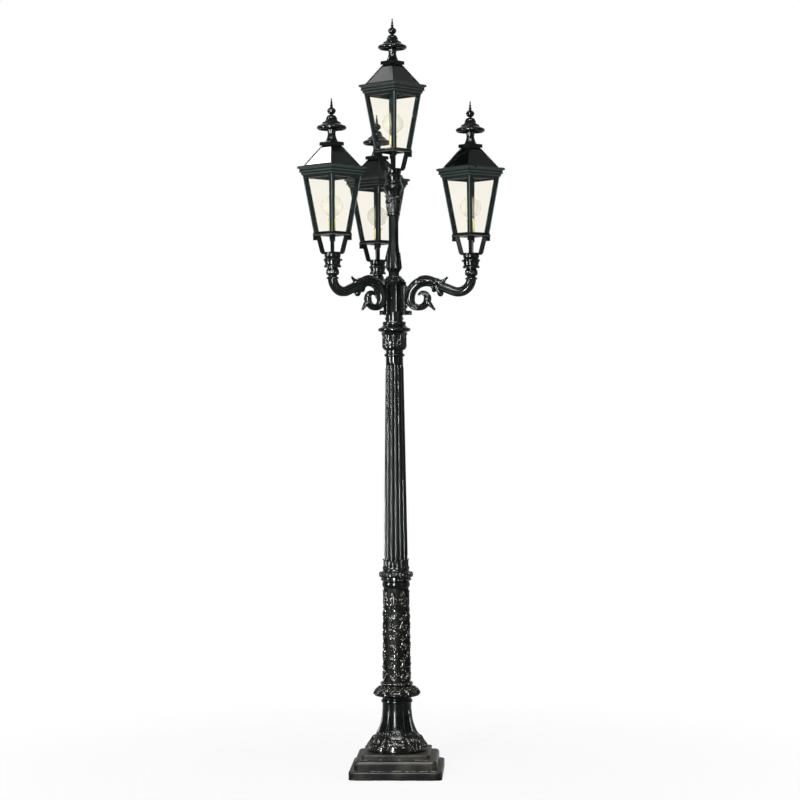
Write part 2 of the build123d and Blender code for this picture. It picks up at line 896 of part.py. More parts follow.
with BuildPart() as leg:
    with BuildSketch(Plane.XZ):
        with BuildLine():
            Polyline(
                (boss_diameter / 2 - leg_toe, 0),
                (leg_foot_reach - leg_toe, 0),
                (leg_foot_reach, leg_toe),
                (leg_top_reach, leg_height),
                (leg_top_reach - leg_bar, leg_height),
                (leg_foot_reach - leg_bar, boss_height),
                (boss_diameter / 2 - leg_toe, boss_height),
                close=True,
            )
        make_face()
    extrude(amount=leg_width / 2, both=True)

with BuildPart() as cradle:
    Cylinder(boss_diameter / 2, boss_height, align=(Align.CENTER, Align.CENTER, Align.MIN))
    Cylinder(
        socket_cup_diameter / 2 - tenon_slip,
        boss_tenon_height,
        align=(Align.CENTER, Align.CENTER, Align.MAX),
    )
    with PolarLocations(0, 4, start_angle=45):
        add(leg.part)
    with BuildSketch(Plane.XY.offset(lower_frame_foot)):
        Rectangle(lower_frame_side, lower_frame_side)
    extrude(amount=lower_frame_height)
    chamfer(cradle.edges().group_by(Axis.Z)[-1], lower_frame_edge)
    with BuildSketch(Plane.XY.offset(lower_frame_foot)):
        Rectangle(lower_frame_opening, lower_frame_opening)
    extrude(amount=lower_frame_height, mode=Mode.SUBTRACT)
    with BuildSketch(Plane.XY.offset(tray_top)):
        Rectangle(tray_side + 2 * seat_gap, tray_side + 2 * seat_gap)
    extrude(amount=-tray_thickness, mode=Mode.SUBTRACT)
    with GridLocations(lower_frame_side - ear_side, lower_frame_side - ear_side, 2, 2):
        with Locations((0, 0, lower_frame_foot)):
            Box(ear_side, ear_side, ear_drop, align=(Align.CENTER, Align.CENTER, Align.MAX))

with BuildPart() as tray:
    with BuildSketch(Plane.XY.offset(tray_top)):
        Rectangle(tray_side, tray_side)
    extrude(amount=-tray_thickness)

with BuildPart() as lampholder:
    revolve(
        half_section(
            0,
            [
                (holder_flange_diameter / 2, tray_top, 0),
                (holder_flange_diameter / 2, tray_top + holder_flange_height, 0),
                (holder_diameter / 2, tray_top + holder_flange_height, 0),
                (holder_diameter / 2, tray_top + holder_height - holder_flange_height, 0),
                (holder_flange_diameter / 2, tray_top + holder_height - holder_flange_height, 0),
                (holder_flange_diameter / 2, tray_top + holder_height, 0),
            ],
        )
    )
    with Locations((0, 0, tray_top + holder_height)):
        Hole(holder_bore / 2, depth=holder_bore_depth)

with BuildPart() as globe_lamp:
    holder_top = tray_top + holder_height
    with Locations((0, 0, tray_top + globe_height)):
        Sphere(globe_diameter / 2)
    with Locations((0, 0, holder_top + seat_gap)):
        Cylinder(
            globe_neck_diameter / 2,
            globe_diameter / 4,
            align=(Align.CENTER, Align.CENTER, Align.MIN),
        )
        Cylinder(
            lamp_cap_diameter / 2,
            lamp_cap_length,
            align=(Align.CENTER, Align.CENTER, Align.MAX),
        )


def body_half_side(level):
    """Half the side of the lantern's outer face at a level."""
    share = (level - body_foot) / body_height
    return body_foot_side / 2 + share * (body_head_side - body_foot_side) / 2


def pane_blank(foot, slack):
    """Tapered pane on the +X side from a level up, between two posts, with a slack all round."""
    levels = (foot, body_head)
    outer = [body_half_side(level) - body_wall - seat_gap + slack for level in levels]
    inner = [reach - glass_thickness - 2 * slack for reach in outer]
    half = [body_half_side(level) - corner_bar + pane_groove - seat_gap + slack for level in levels]
    with BuildPart() as blank:
        with BuildSketch(Plane.XZ):
            with BuildLine():
                Polyline((inner[0], foot), (outer[0], foot), (outer[1], body_head), (inner[1], body_head), close=True)
            make_face()
        extrude(amount=body_head_side / 2, both=True)
        with BuildSketch(Plane.YZ):
            with BuildLine():
                Polyline((-half[0], foot), (half[0], foot), (half[1], body_head), (-half[1], body_head), close=True)
            make_face()
        extrude(amount=body_head_side, mode=Mode.INTERSECT)
    return blank.part


with BuildPart() as window:
    sill = body_foot + sill_height
    head = body_head - head_rail
    with BuildSketch(Plane.YZ):
        with BuildLine():
            Polyline(
                (corner_bar - body_half_side(sill), sill),
                (body_half_side(sill) - corner_bar, sill),
                (body_half_side(head) - corner_bar, head),
                (corner_bar - body_half_side(head), head),
                close=True,
            )
        make_face()
    extrude(amount=body_head_side)

with BuildPart() as lantern_frame:
    for level in (body_foot, body_head):
        with BuildSketch(Plane.XY.offset(level)):
            Rectangle(2 * body_half_side(level), 2 * body_half_side(level))
    loft()
    for level, side in ((body_head, body_head_side), (eave_foot, eave_cove_side)):
        with BuildSketch(Plane.XY.offset(level)):
            Rectangle(side, side)
    loft()
    with BuildSketch(Plane.XY.offset(eave_foot)):
        Rectangle(frieze_side, frieze_side)
    extrude(amount=frieze_height)
    with BuildSketch(Plane.XY.offset(eave_foot + frieze_height)):
        Rectangle(eave_side, eave_side)
    extrude(amount=eave_height - frieze_height)
    chamfer(lantern_frame.edges().group_by(Axis.Z)[-1], eave_edge)
    for level in (body_foot, body_head):
        with BuildSketch(Plane.XY.offset(level)):
            inside = 2 * (body_half_side(level) - body_wall)
            post = corner_bar - body_wall
            Rectangle(inside, inside)
            with GridLocations(inside - post, inside - post, 2, 2):
                Rectangle(post, post, mode=Mode.SUBTRACT)
    loft(mode=Mode.SUBTRACT)
    with BuildSketch(Plane.XY.offset(body_head)):
        Rectangle(opening_side, opening_side)
    extrude(amount=eave_cove_height + eave_height, mode=Mode.SUBTRACT)
    with PolarLocations(0, 4):
        add(window.part, mode=Mode.SUBTRACT)
        add(pane_blank(body_foot, seat_gap), mode=Mode.SUBTRACT)
    for side in (-1, 1):
        with BuildSketch(Plane(origin=(0, side * lug_centre, 0), x_dir=(1, 0, 0), z_dir=(0, -1, 0))):
            with Locations((hinge_reach, hinge_level)):
                Circle(knuckle_radius)
            with Locations((hinge_reach, hinge_level - hinge_height / 2)):
                Rectangle(2 * knuckle_radius, hinge_height)
            with Locations((hinge_reach, hinge_level)):
                Circle(hinge_pin_diameter / 2 + pin_slip, mode=Mode.SUBTRACT)
        extrude(amount=lug_length / 2, both=True)
    with Locations(Location((lock_screw_offset, 0, lock_level), (90, 0, 0))):
        Cylinder(
            lock_screw_diameter / 2 + screw_slip,
            eave_side,
            align=(Align.CENTER, Align.CENTER, Align.MIN),
            mode=Mode.SUBTRACT,
        )

with BuildPart() as glass:
    with PolarLocations(0, 4):
        add(pane_blank(tray_top + seat_gap, 0))

with BuildPart() as roof:
    for level, side in ((roof_foot, roof_side), (roof_top, roof_top_side)):
        with BuildSketch(Plane.XY.offset(level)):
            Rectangle(side, side)
    loft()
    for level, side in ((roof_foot, roof_side), (roof_top - roof_sheet, roof_top_side)):
        with BuildSketch(Plane.XY.offset(level)):
            Rectangle(side - 2 * roof_sheet, side - 2 * roof_sheet)
    loft(mode=Mode.SUBTRACT)
    skirt_side = opening_side - 2 * skirt_clearance
    with BuildSketch(Plane.XY.offset(roof_foot)):
        Rectangle(roof_side, roof_side)
        Rectangle(skirt_side - 2 * skirt_wall, skirt_side - 2 * skirt_wall, mode=Mode.SUBTRACT)
    extrude(amount=skirt_wall)
    with BuildSketch(Plane.XY.offset(roof_foot)):
        Rectangle(skirt_side, skirt_side)
        Rectangle(skirt_side - 2 * skirt_wall, skirt_side - 2 * skirt_wall, mode=Mode.SUBTRACT)
    extrude(amount=-skirt_depth)
    with Locations((0, 0, roof_top)):
        Hole(vent_bore / 2, depth=2 * roof_sheet)
    with BuildSketch(Plane.XZ):
        with Locations((hinge_reach, hinge_level)):
            Circle(knuckle_radius)
        with Locations((hinge_reach - hinge_standoff, hinge_level)):
            Rectangle(2 * hinge_standoff, knuckle_radius)
        with Locations((hinge_reach, hinge_level)):
            Circle(hinge_pin_diameter / 2 + pin_slip, mode=Mode.SUBTRACT)
    extrude(amount=knuckle_length / 2, both=True)

with BuildPart() as hinge_pin:
    with BuildSketch(Plane.XZ.offset(-lug_centre - lug_length / 2)):
        with Locations((hinge_reach, hinge_level)):
            Circle(hinge_pin_diameter / 2)
    extrude(amount=2 * lug_centre + lug_length)

with BuildPart() as lock_screw:
    screw_tip = skirt_side / 2 + seat_gap
    with Locations(Location((lock_screw_offset, 0, lock_level), (90, 0, 0))):
        with Locations((0, 0, screw_tip)):
            Cylinder(
                lock_screw_diameter / 2,
                eave_side / 2 - screw_tip,
                align=(Align.CENTER, Align.CENTER, Align.MIN),
            )
        with Locations((0, 0, eave_side / 2)):
            Cylinder(
                lock_screw_head_diameter / 2,
                lock_screw_head_height,
                align=(Align.CENTER, Align.CENTER, Align.MIN),
            )

with BuildPart() as vent_neck:
    with BuildSketch(Plane.XY.offset(roof_top)):
        Rectangle(roof_top_side, roof_top_side)
    extrude(amount=pad_height)
    with BuildSketch(Plane.XY.offset(neck_plate_foot)):
        Rectangle(collar_plate_side, collar_plate_side)
    extrude(amount=collar_plate_height)
    fillet(vent_neck.edges().group_by(Axis.Z)[-1], collar_plate_edge)
    throat = trumpet_foot + trumpet_throat_height
    revolve(
        half_section(
            vent_bore,
            [
                (trumpet_foot_diameter / 2, trumpet_foot, 0),
                (trumpet_throat_diameter / 2, throat, -trumpet_hollow),
                (trumpet_top_diameter / 2, cap_foot, 0),
            ],
        )
    )
    with Locations((0, 0, cap_foot)):
        Hole(vent_bore / 2)

with BuildPart() as vent_cap:
    lip = bell_diameter / 2
    shoulder = cap_foot + bell_shoulder_height
    revolve(
        half_section(
            stud_diameter + 2 * screw_slip,
            [
                (trumpet_top_diameter / 2, cap_foot, 0),
                (trumpet_top_diameter / 2, cap_foot + bell_lip_height, 0),
                (lip - 3 * bell_wall, cap_foot + bell_lip_height, 0),
                (lip - 2 * bell_wall, cap_foot, 0),
                (lip, cap_foot + bell_lip_height, bell_wall / 2),
                (lip - bell_wall, cap_foot + 2 * bell_lip_height, bell_wall / 3),
                (bell_shoulder_diameter / 2, shoulder, -bell_wall),
                (bell_top_diameter / 2, cap_top, bell_wall),
            ],
        )
    )

with BuildPart() as finial:
    knob_foot = cap_top + finial_neck_height
    flange_foot = knob_foot + finial_knob_height
    flange_top = flange_foot + finial_flange_height
    shoulder_top = flange_top + finial_shoulder_height
    revolve(
        half_section(
            0,
            [
                (finial_neck_diameter / 2, cap_top, 0),
                (finial_neck_diameter / 2, knob_foot, 0),
                (finial_knob_diameter / 2, flange_foot, finial_knob_swell),
                (finial_knob_diameter / 2, flange_top, finial_flange_height / 3),
                (finial_shoulder_diameter / 2, shoulder_top, finial_knob_swell / 2),
                (finial_spire_diameter / 2, shoulder_top + finial_collar_height, -finial_spire_hollow),
                (finial_tip_diameter / 2, cap_top + finial_height, -finial_spire_hollow),
            ],
        )
    )
    with Locations((0, 0, cap_top)):
        Cylinder(stud_diameter / 2, stud_length, align=(Align.CENTER, Align.CENTER, Align.MAX))

with BuildPart() as socket_screws:
    for place in range(socket_screw_count):
        with Locations(radial((groove + middle) / 2, place * 360 / socket_screw_count)):
            with Locations((0, 0, socket_cup_diameter / 2)):
                Cylinder(
                    set_screw_diameter / 2,
                    (socket_diameter - socket_cup_diameter) / 2 + socket_ring_swell,
                    align=(Align.CENTER, Align.CENTER, Align.MIN),
                )
            with Locations((0, 0, socket_diameter / 2 + socket_ring_swell)):
                Cylinder(
                    set_screw_head_diameter / 2,
                    set_screw_head_height,
                    align=(Align.CENTER, Align.CENTER, Align.MIN),
                )

# Each lantern stands on its socket, at the end of an arm or on the stem
seats = {}
for name, turn in arm_turns.items():
    spot = Vector(arm_reach, 0, neck_top + socket_height).rotate(Axis.Z, turn)
    seats[name] = Location(tuple(spot), (0, 0, lantern_turns[name]))
seats["top"] = Location((0, 0, stem_capital_top + socket_height), (0, 0, lantern_turns["top"]))

lantern_pieces = {
    "socket": socket,
    "cradle": cradle,
    "lantern_frame": lantern_frame,
    "glass": glass,
    "globe_lamp": globe_lamp,
    "roof": roof,
    "vent_neck": vent_neck,
    "vent_cap": vent_cap,
    "finial": finial,
}
for name, seat in seats.items():
    for kind, piece in lantern_pieces.items():
        with BuildPart() as placed:
            with Locations(seat):
                add(piece.part)
        save(placed, f"{kind}_{name}")

# Pieces that all four lanterns have alike, one group each
for group_name, piece in (
    ("lamp_trays", tray),
    ("lampholders", lampholder),
    ("hinge_pins", hinge_pin),
    ("lock_screws", lock_screw),
):
    with BuildPart() as group:
        for seat in seats.values():
            with Locations(seat):
                add(piece.part)
    save(group, group_name)

with BuildPart() as set_screws:
    for place in range(clamp_screw_count):
        turn = clamp_screw_turn + place * 360 / clamp_screw_count
        with Locations(radial(clamp_level, turn)):
            with Locations((0, 0, core_diameter / 2)):
                Cylinder(
                    set_screw_diameter / 2,
                    (clamp_diameter - core_diameter) / 2,
                    align=(Align.CENTER, Align.CENTER, Align.MIN),
                )
            with Locations((0, 0, clamp_diameter / 2)):
                Cylinder(
                    set_screw_head_diameter / 2,
                    set_screw_head_height,
                    align=(Align.CENTER, Align.CENTER, Align.MIN),
                )
    for seat in seats.values():
        with Locations(seat):
            add(socket_screws.part)
save(set_screws, "set_screws")
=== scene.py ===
"""Dresses the garden lamp post: ornament of the castings, lantern trim, finishes and the stage."""

import json
from math import acos, atan2, cos, degrees, exp, hypot, pi, radians, sin
from random import Random

import bpy
from bpy.props import FloatProperty, FloatVectorProperty, IntProperty, PointerProperty
from mathutils import Matrix, Vector
from mathutils.bvhtree import BVHTree


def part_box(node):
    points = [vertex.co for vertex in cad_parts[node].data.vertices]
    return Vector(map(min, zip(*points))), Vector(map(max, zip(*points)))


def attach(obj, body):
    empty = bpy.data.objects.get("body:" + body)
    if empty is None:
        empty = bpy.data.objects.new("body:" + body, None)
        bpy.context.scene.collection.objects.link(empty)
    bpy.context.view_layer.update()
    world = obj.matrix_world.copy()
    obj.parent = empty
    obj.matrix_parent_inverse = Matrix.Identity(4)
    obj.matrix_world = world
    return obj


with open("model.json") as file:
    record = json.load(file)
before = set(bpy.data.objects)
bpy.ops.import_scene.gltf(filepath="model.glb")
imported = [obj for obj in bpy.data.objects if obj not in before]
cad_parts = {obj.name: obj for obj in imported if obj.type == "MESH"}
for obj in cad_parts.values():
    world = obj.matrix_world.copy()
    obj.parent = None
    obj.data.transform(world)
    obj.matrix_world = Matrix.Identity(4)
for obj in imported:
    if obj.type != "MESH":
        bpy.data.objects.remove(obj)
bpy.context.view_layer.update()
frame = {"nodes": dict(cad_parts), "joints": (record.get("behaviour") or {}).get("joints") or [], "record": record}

bl_info = {
    "name": "Garden lamp post",
    "version": (1, 0, 0),
    "blender": (4, 5, 0),
    "location": "View3D > Sidebar > Lamp post",
    "description": "Dresses the lamp post's castings, lanterns and stage",
    "category": "Object",
}

MM = 0.001
POST = "post"
SIDES = ("right", "back", "left", "top")
ARMS = ("right", "back", "left")
CORNERS = ((-1, -1), (-1, 1), (1, -1), (1, 1))
FRONT = radians(-90)

# Finishes of the castings
ENAMEL = "stove_enamel"
CHIPPED_GLINTS = "chipped_glint_enamel"
RUB_GLINTS = "glint_rubbed_enamel"
STIPPLED = "stippled_enamel"
SHEET = "enamelled_sheet"
FRAME_SHEEN = "frame_sheen_enamel"
EDGE_HIGHLIGHT = "painted_highlight_edge_paint"
CORNER_HIGHLIGHT = "painted_highlight_corner_paint"


def linear(code):
    """Linear colour of an sRGB hex code."""
    shares = [int(code[i : i + 2], 16) / 255 for i in (1, 3, 5)]
    return tuple(s / 12.92 if s <= 0.04045 else ((s + 0.055) / 1.055) ** 2.4 for s in shares)


# Sizes and colours that a user would change


def tint(name, description, code):
    """Colour setting, from a hex code."""
    return FloatVectorProperty(name=name, description=description, subtype="COLOR", default=linear(code))


def metres(name, description, default):
    """Length setting."""
    return FloatProperty(name=name, description=description, unit="LENGTH", default=default)


def bearing(name, description, default):
    """Angle setting, from degrees."""
    return FloatProperty(name=name, description=description, subtype="ANGLE", default=radians(default))


class LampPostFinishes(bpy.types.PropertyGroup):
    """Colours of the lamp post's finishes."""

    enamel: tint("Enamel", "Green-black gloss enamel of the castings", "#080d0c")
    worn: tint("Worn enamel", "Enamel where it has bleached", "#111917")
    dust: tint("Dust", "Dust on ledges and in the carving", "#5d584b")
    # Pale chips of primer, which also stand in for painted highlights on the plinth's edges
    primer_glint: tint("Primer", "Pale primer in chips of the enamel", "#d8d4c8")
    # Small pale spots on the relief: painted glints, with some pale rubbing
    rubbed_glints: tint("Rubbed relief", "High spots of the relief, rubbed pale", "#c9c1aa")
    # Lighter than the castings' enamel: a painted sheen of the lantern frames and the arms' ribs
    frames: tint("Lantern frames", "Paint of the lanterns' sheet frames", "#1a2221")
    # Lighter grey along the frames' edge beads: a painted highlight
    edges: tint("Frame edges", "Paint polished grey along the frames' edges", "#3d4845")
    # Lighter grey along the corner bars: a painted highlight
    corners: tint("Corner bars", "Paint polished grey along the corner bars", "#5f6b68")
    steel: tint("Steel", "Blackened steel of the flange and tubes", "#2b2e2d")
    pane: tint("Panes", "Faintly cream glass of the lanterns", "#fbf9f3")
    opal: tint("Opal", "Opal glass of the globe lamps", "#959784")
    holder: tint("Lampholder", "Moulded lampholder", "#9a9868")
    tray: tint("Tray", "Grey paint of the lamp trays", "#b9b9b4")


class LampPostOrnament(bpy.types.PropertyGroup):
    """Sizes of the cast ornament."""

    relief: metres("Relief", "Height of the leaves above the casting", 5 * MM)
    sheet: metres("Leaf thickness", "Thickness of a cast leaf", 3 * MM)
    rib: metres("Rib radius", "Radius of the ribs along the arms", 4.2 * MM)
    rib_count: IntProperty(name="Ribs", description="Ribs round an arm", default=10)
    bead: metres("Bead radius", "Radius of the beads along the lanterns' edges", 2.6 * MM)


class LampPostStage(bpy.types.PropertyGroup):
    """Camera and floor."""

    distance: metres("Distance", "Camera to the post's axis", 12.0)
    height: metres("Height", "Camera above the floor", 2.11)
    azimuth: bearing("Azimuth", "Camera's turn round the post", 3)
    roll: bearing("Roll", "Camera's roll", -0.4)
    lens: FloatProperty(name="Lens", description="Focal length in millimetres", default=98.0)
    floor: metres("Floor", "Radius of the floor", 3.0)


# Tools for shaping


def clear_selection():
    """Leave nothing selected, so that an operator acts only on what comes next."""
    if bpy.context.mode != "OBJECT":
        bpy.ops.object.mode_set(mode="OBJECT")
    bpy.ops.object.select_all(action="DESELECT")


def pick(*pieces):
    """Select these pieces alone, the first of them active."""
    clear_selection()
    for piece in pieces:
        piece.select_set(True)
    bpy.context.view_layer.objects.active = pieces[0]


def active():
    """Object that the last operator left active."""
    return bpy.context.view_layer.objects.active


def join(pieces):
    """Join pieces into one object."""
    pick(*pieces)
    if len(pieces) > 1:
        bpy.ops.object.join()
    return active()


def copies(piece, places):
    """A copy of a piece, with its own mesh, at each place; the model itself goes."""
    made = []
    for place in places:
        pick(piece)
        bpy.ops.object.duplicate()
        copy = active()
        copy.data.transform(place)
        made.append(copy)
    bpy.data.objects.remove(piece)
    return made


def spin(angle):
    """Turn about the vertical."""
    return Matrix.Rotation(angle, 4, "Z")


def shift(piece, *offset):
    """Move a piece's mesh and hand the piece back."""
    piece.data.transform(Matrix.Translation(offset))
    return piece


def harden(piece, modifier, **settings):
    """Add a modifier with its settings and apply it."""
    pick(piece)
    made = piece.modifiers.new(modifier.title(), modifier)
    for name, value in settings.items():
        setattr(made, name, value)
    bpy.ops.object.modifier_apply(modifier=made.name)


def mend_mesh(piece, distance=0.02 * MM):
    """Merge doubled points and turn the faces outwards."""
    pick(piece)
    bpy.ops.object.mode_set(mode="EDIT")
    bpy.ops.mesh.select_all(action="SELECT")
    bpy.ops.mesh.remove_doubles(threshold=distance)
    bpy.ops.mesh.normals_make_consistent(inside=False)
    bpy.ops.object.mode_set(mode="OBJECT")


def settle(piece, name, finish, body=POST, angle=40):
    """Name a finished piece, give it its finish and let it ride on its body."""
    pick(piece)
    bpy.ops.object.transform_apply(location=True, rotation=True, scale=True)
    bpy.ops.object.shade_smooth_by_angle(angle=radians(angle))
    piece.name = name
    piece.data.name = name
    piece.data.materials.clear()
    piece.data.materials.append(finish_named(finish))
    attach(piece, body)


def tube(points, radii, cyclic=False, sides=2):
    """Round bar along points, with a radius at each of them, as a mesh."""
    clear_selection()
    curve = bpy.data.curves.new("bar", "CURVE")
    curve.dimensions = "3D"
    curve.bevel_depth = 1.0
    curve.bevel_resolution = sides
    curve.use_fill_caps = True
    line = curve.splines.new("POLY")
    line.points.add(len(points) - 1)
    for spot, point, radius in zip(line.points, points, radii):
        spot.co = (*point, 1)
        spot.radius = radius
    line.use_cyclic_u = cyclic
    bar = bpy.data.objects.new("bar", curve)
    bpy.context.scene.collection.objects.link(bar)
    pick(bar)
    bpy.ops.object.convert(target="MESH")
    return active()


def leaf(sizes, length, width, lobes, crown, roll, across=8, along=16, fine=True):
    """Acanthus leaf with its root at the origin and its tip along Y, with its sizes in millimetres.

    Its relief stands up along Z, and crown is a share of the relief that the user sets.
    """
    clear_selection()
    bpy.ops.mesh.primitive_grid_add(x_subdivisions=across, y_subdivisions=along, size=2)
    blade = active()
    relief = crown * sizes.relief
    for vertex in blade.data.vertices:
        side = vertex.co.x
        share = (vertex.co.y + 1) / 2
        # Widest a third of the way up, on a root a third as wide
        spread = max(sin(pi * share**0.62) ** 0.75, 0.34 * (1 - share))
        # Notches part the lobes along the edge and fade out at the tip
        lobe = abs(cos(pi * lobes * share))
        notch = 1 - 0.34 * lobe**3 * min(1, 4 * (1 - share))
        half = width * MM / 2 * spread * (notch if abs(side) > 0.5 else 1)
        # A rounded back with a sharp midrib and slanting veins, flat at the root
        ridge = exp(-((side / 0.16) ** 2))
        vein = 0.42 * cos(2 * pi * lobes * share - 2.5 * abs(side)) * abs(side)
        height = relief * (0.8 * (1 - side * side) + 0.4 * ridge + vein) * min(1, 6 * share)
        # The last third rolls away from the casting
        bend = roll * MM * max(0, (share - 0.62) / 0.38) ** 2
        droop = 0.02 * length * MM * abs(side) * lobes * lobe
        vertex.co = (side * half, share * length * MM - droop, height + bend)
    harden(blade, "SOLIDIFY", thickness=sizes.sheet, offset=-1)
    mend_mesh(blade)
    if fine:
        harden(blade, "SUBSURF", levels=1, render_levels=1)
    return blade


def bead(radius, stretch=(1, 1, 1), rings=8):
    """Small cast bead about the origin."""
    clear_selection()
    bpy.ops.mesh.primitive_uv_sphere_add(segments=2 * rings, ring_count=rings, radius=radius)
    ball = active()
    ball.scale = stretch
    bpy.ops.object.transform_apply(location=False, rotation=False, scale=True)
    return ball


def curl(radius, turns, thick, thin, mirrored):
    """Flat tendril that rolls in on itself from the origin and heads up, with its sizes in millimetres."""
    side = -1 if mirrored else 1
    steps = int(20 * turns)
    # The roll ends at about a fifth of its first radius
    close = 0.82
    points = []
    radii = []
    for step in range(steps + 1):
        share = step / steps
        reach = radius * (1 - close * share)
        angle = pi - 2 * pi * turns * share
        points.append((side * (radius + reach * cos(angle)) * MM, reach * sin(angle) * MM, 0))
        radii.append((thick + share * (thin - thick)) * MM)
    return tube(points, radii, sides=1)


# Surfaces of the castings, read off the frame


def casting_tree(nodes):
    """Search tree over the triangles of some castings."""
    points = []
    faces = []
    for name in nodes:
        mesh = frame["nodes"][name].data
        first = len(points)
        points += [tuple(vertex.co) for vertex in mesh.vertices]
        faces += [[first + corner for corner in face.vertices] for face in mesh.polygons]
    return BVHTree.FromPolygons(points, faces)


def outline(nodes, low, high, turn=0.0, steps=28):
    """Outline (radius, level) of castings between two levels, at a turn about the axis."""
    tree = casting_tree(nodes)
    away = Vector((cos(turn), sin(turn), 0))
    path = []
    for step in range(steps + 1):
        level = low + (high - low) * step / steps
        place = tree.ray_cast(away + Vector((0, 0, level)), -away)[0]
        if place is None:
            raise RuntimeError(f"no casting at level {level:.3f}")
        path.append(Vector((hypot(place.x, place.y), level)))
    return path


def length_of(path):
    """Length of a path through points."""
    return sum((end - start).length for start, end in zip(path, path[1:]))


def along_path(path, travel):
    """Point of a path after a travel along it, and the direction there."""
    for start, end in zip(path, path[1:]):
        step = end - start
        if travel <= step.length or end is path[-1]:
            heading = step.normalized()
            return start + heading * travel, heading
        travel -= step.length
    raise RuntimeError("the path has no length")


def wrap(piece, path, turn=0.0):
    """Lay flat ornament on the post: X goes round it, Y along the path, and Z stands off it."""
    up = 1 if path[-1].y > path[0].y else -1
    for vertex in piece.data.vertices:
        x, y, z = vertex.co
        point, heading = along_path(path, y)
        radius = point.x + up * heading.y * z
        level = point.y - up * heading.x * z
        angle = turn + up * x / point.x
        vertex.co = (radius * cos(angle), radius * sin(angle), level)
    return piece


def ring_of(unit, count, path, first=0.0):
    """Repeat flat ornament round the post as one piece."""
    pitch = 2 * pi / count
    flats = copies(unit, [Matrix.Identity(4)] * count)
    return join([wrap(flat, path, first + pitch * place) for place, flat in enumerate(flats)])


def bead_ring(radius, stretch, count, reach, level, turn=0.0):
    """Beads round the post at one level."""
    places = []
    for place in range(count):
        angle = turn + 2 * pi * place / count
        spot = Matrix.Translation((reach * cos(angle), reach * sin(angle), level))
        places.append(spot @ spin(angle))
    return join(copies(bead(radius, stretch), places))


def hoop(reach, level, radius, steps=72):
    """Round ring about the post's axis."""
    turns = [2 * pi * step / steps for step in range(steps)]
    points = [(reach * cos(turn), reach * sin(turn), level) for turn in turns]
    return tube(points, [radius] * steps, cyclic=True)


# Arms: the same spine as their castings


def arc(centre, radius, start, end, steps):
    """Points of an arc, in degrees."""
    turns = [radians(start + (end - start) * step / steps) for step in range(steps + 1)]
    return [Vector((centre[0] + radius * cos(t), centre[1] + radius * sin(t))) for t in turns]


ARM_REACH = 443 * MM
U_RADIUS = 74 * MM
SCROLL_RADIUS = 91 * MM
SCROLL_REACH = 182 * MM
VOLUTE_RADII = (52 * MM, 50 * MM, 30 * MM, 28 * MM)
VOLUTE_TURNS = (90, 90, 90, 45)
PIPE = 23.5 * MM
ROOT_DROP = 16 * MM
SCROLL_RISE = 76 * MM
BEND_RISE = 179 * MM
CREST = 26 * MM
VOLUTE_HALVES = (26 * MM, 15.5 * MM, 20.5 * MM, 12.5 * MM, 6.5 * MM)
# Outgrowths in millimetres, as (reach, level) of both ends and half their thickness there
OUTGROWTHS = (
    ((212, 160), (278, 159), 22, 17),
    ((276, 158), (305, 184), 11, 6.5),
    ((243, 150), (267, 99), 21, 17.5),
    ((224, 152), (230, 118), 16, 13),
    ((191, 58), (230, 14), 17, 8),
)


def arm_hub_foot():
    """Level of the hub's foot, which the arms' levels are counted from."""
    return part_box("arm_right")[0].z + ROOT_DROP


def arm_spine():
    """Centre line of an arm as (reach, level), with its radius, from the lantern's neck to the volute."""
    hub_foot = arm_hub_foot()
    bend = (ARM_REACH - U_RADIUS, hub_foot + BEND_RISE)
    scroll = (SCROLL_REACH, hub_foot + SCROLL_RISE)
    apart = hypot(bend[0] - scroll[0], bend[1] - scroll[1])
    slope = atan2(bend[1] - scroll[1], bend[0] - scroll[0])
    lean = degrees(slope + acos((U_RADIUS + SCROLL_RADIUS) / apart))
    bend_steps, straight_steps, crest_steps, fall_steps, volute_steps = 22, 12, 6, 20, 12
    points = arc(bend, U_RADIUS, 0, lean - 180, bend_steps)
    start = points[-1]
    end = arc(scroll, SCROLL_RADIUS, lean, 90, 1)[0]
    points += [start.lerp(end, step / straight_steps) for step in range(1, straight_steps)]
    halves = [PIPE] * len(points)
    points += arc(scroll, SCROLL_RADIUS, lean, 90, crest_steps)
    halves += [PIPE + (CREST - PIPE) * step / crest_steps for step in range(crest_steps + 1)]
    points += arc(scroll, SCROLL_RADIUS, 90, 180, fall_steps)[1:]
    swell = VOLUTE_HALVES[0] - CREST
    halves += [CREST + swell * (step + 1) / fall_steps for step in range(fall_steps)]
    angle = 180
    centre = Vector(scroll)
    radius = SCROLL_RADIUS
    for place, (small, turn) in enumerate(zip(VOLUTE_RADII, VOLUTE_TURNS)):
        facing = Vector((cos(radians(angle)), sin(radians(angle))))
        centre = centre + facing * (radius - small)
        radius = small
        points += arc(centre, radius, angle, angle + turn, volute_steps)[1:]
        thick = VOLUTE_HALVES[place]
        thin = VOLUTE_HALVES[place + 1]
        halves += [thick + (thin - thick) * (step + 1) / volute_steps for step in range(volute_steps)]
        angle += turn
    return points, halves


def on_arm(spine, halves, travel, around, lift):
    """Point of an arm in its own plane: a travel along the spine, a turn round it and a lift off it."""
    for place, (start, end) in enumerate(zip(spine, spine[1:])):
        step = (end - start).length
        if travel <= step or place == len(spine) - 2:
            share = travel / step
            heading = (end - start).normalized()
            radius = halves[place] + share * (halves[place + 1] - halves[place]) + lift
            middle = start + heading * travel
            # The outer side of the scroll is at a turn of 0
            outward = Vector((heading.y, -heading.x))
            reach = middle.x + outward.x * radius * cos(around)
            level = middle.y + outward.y * radius * cos(around)
            return Vector((reach, radius * sin(around), level))
        travel -= step
    raise RuntimeError("the arm has no length")


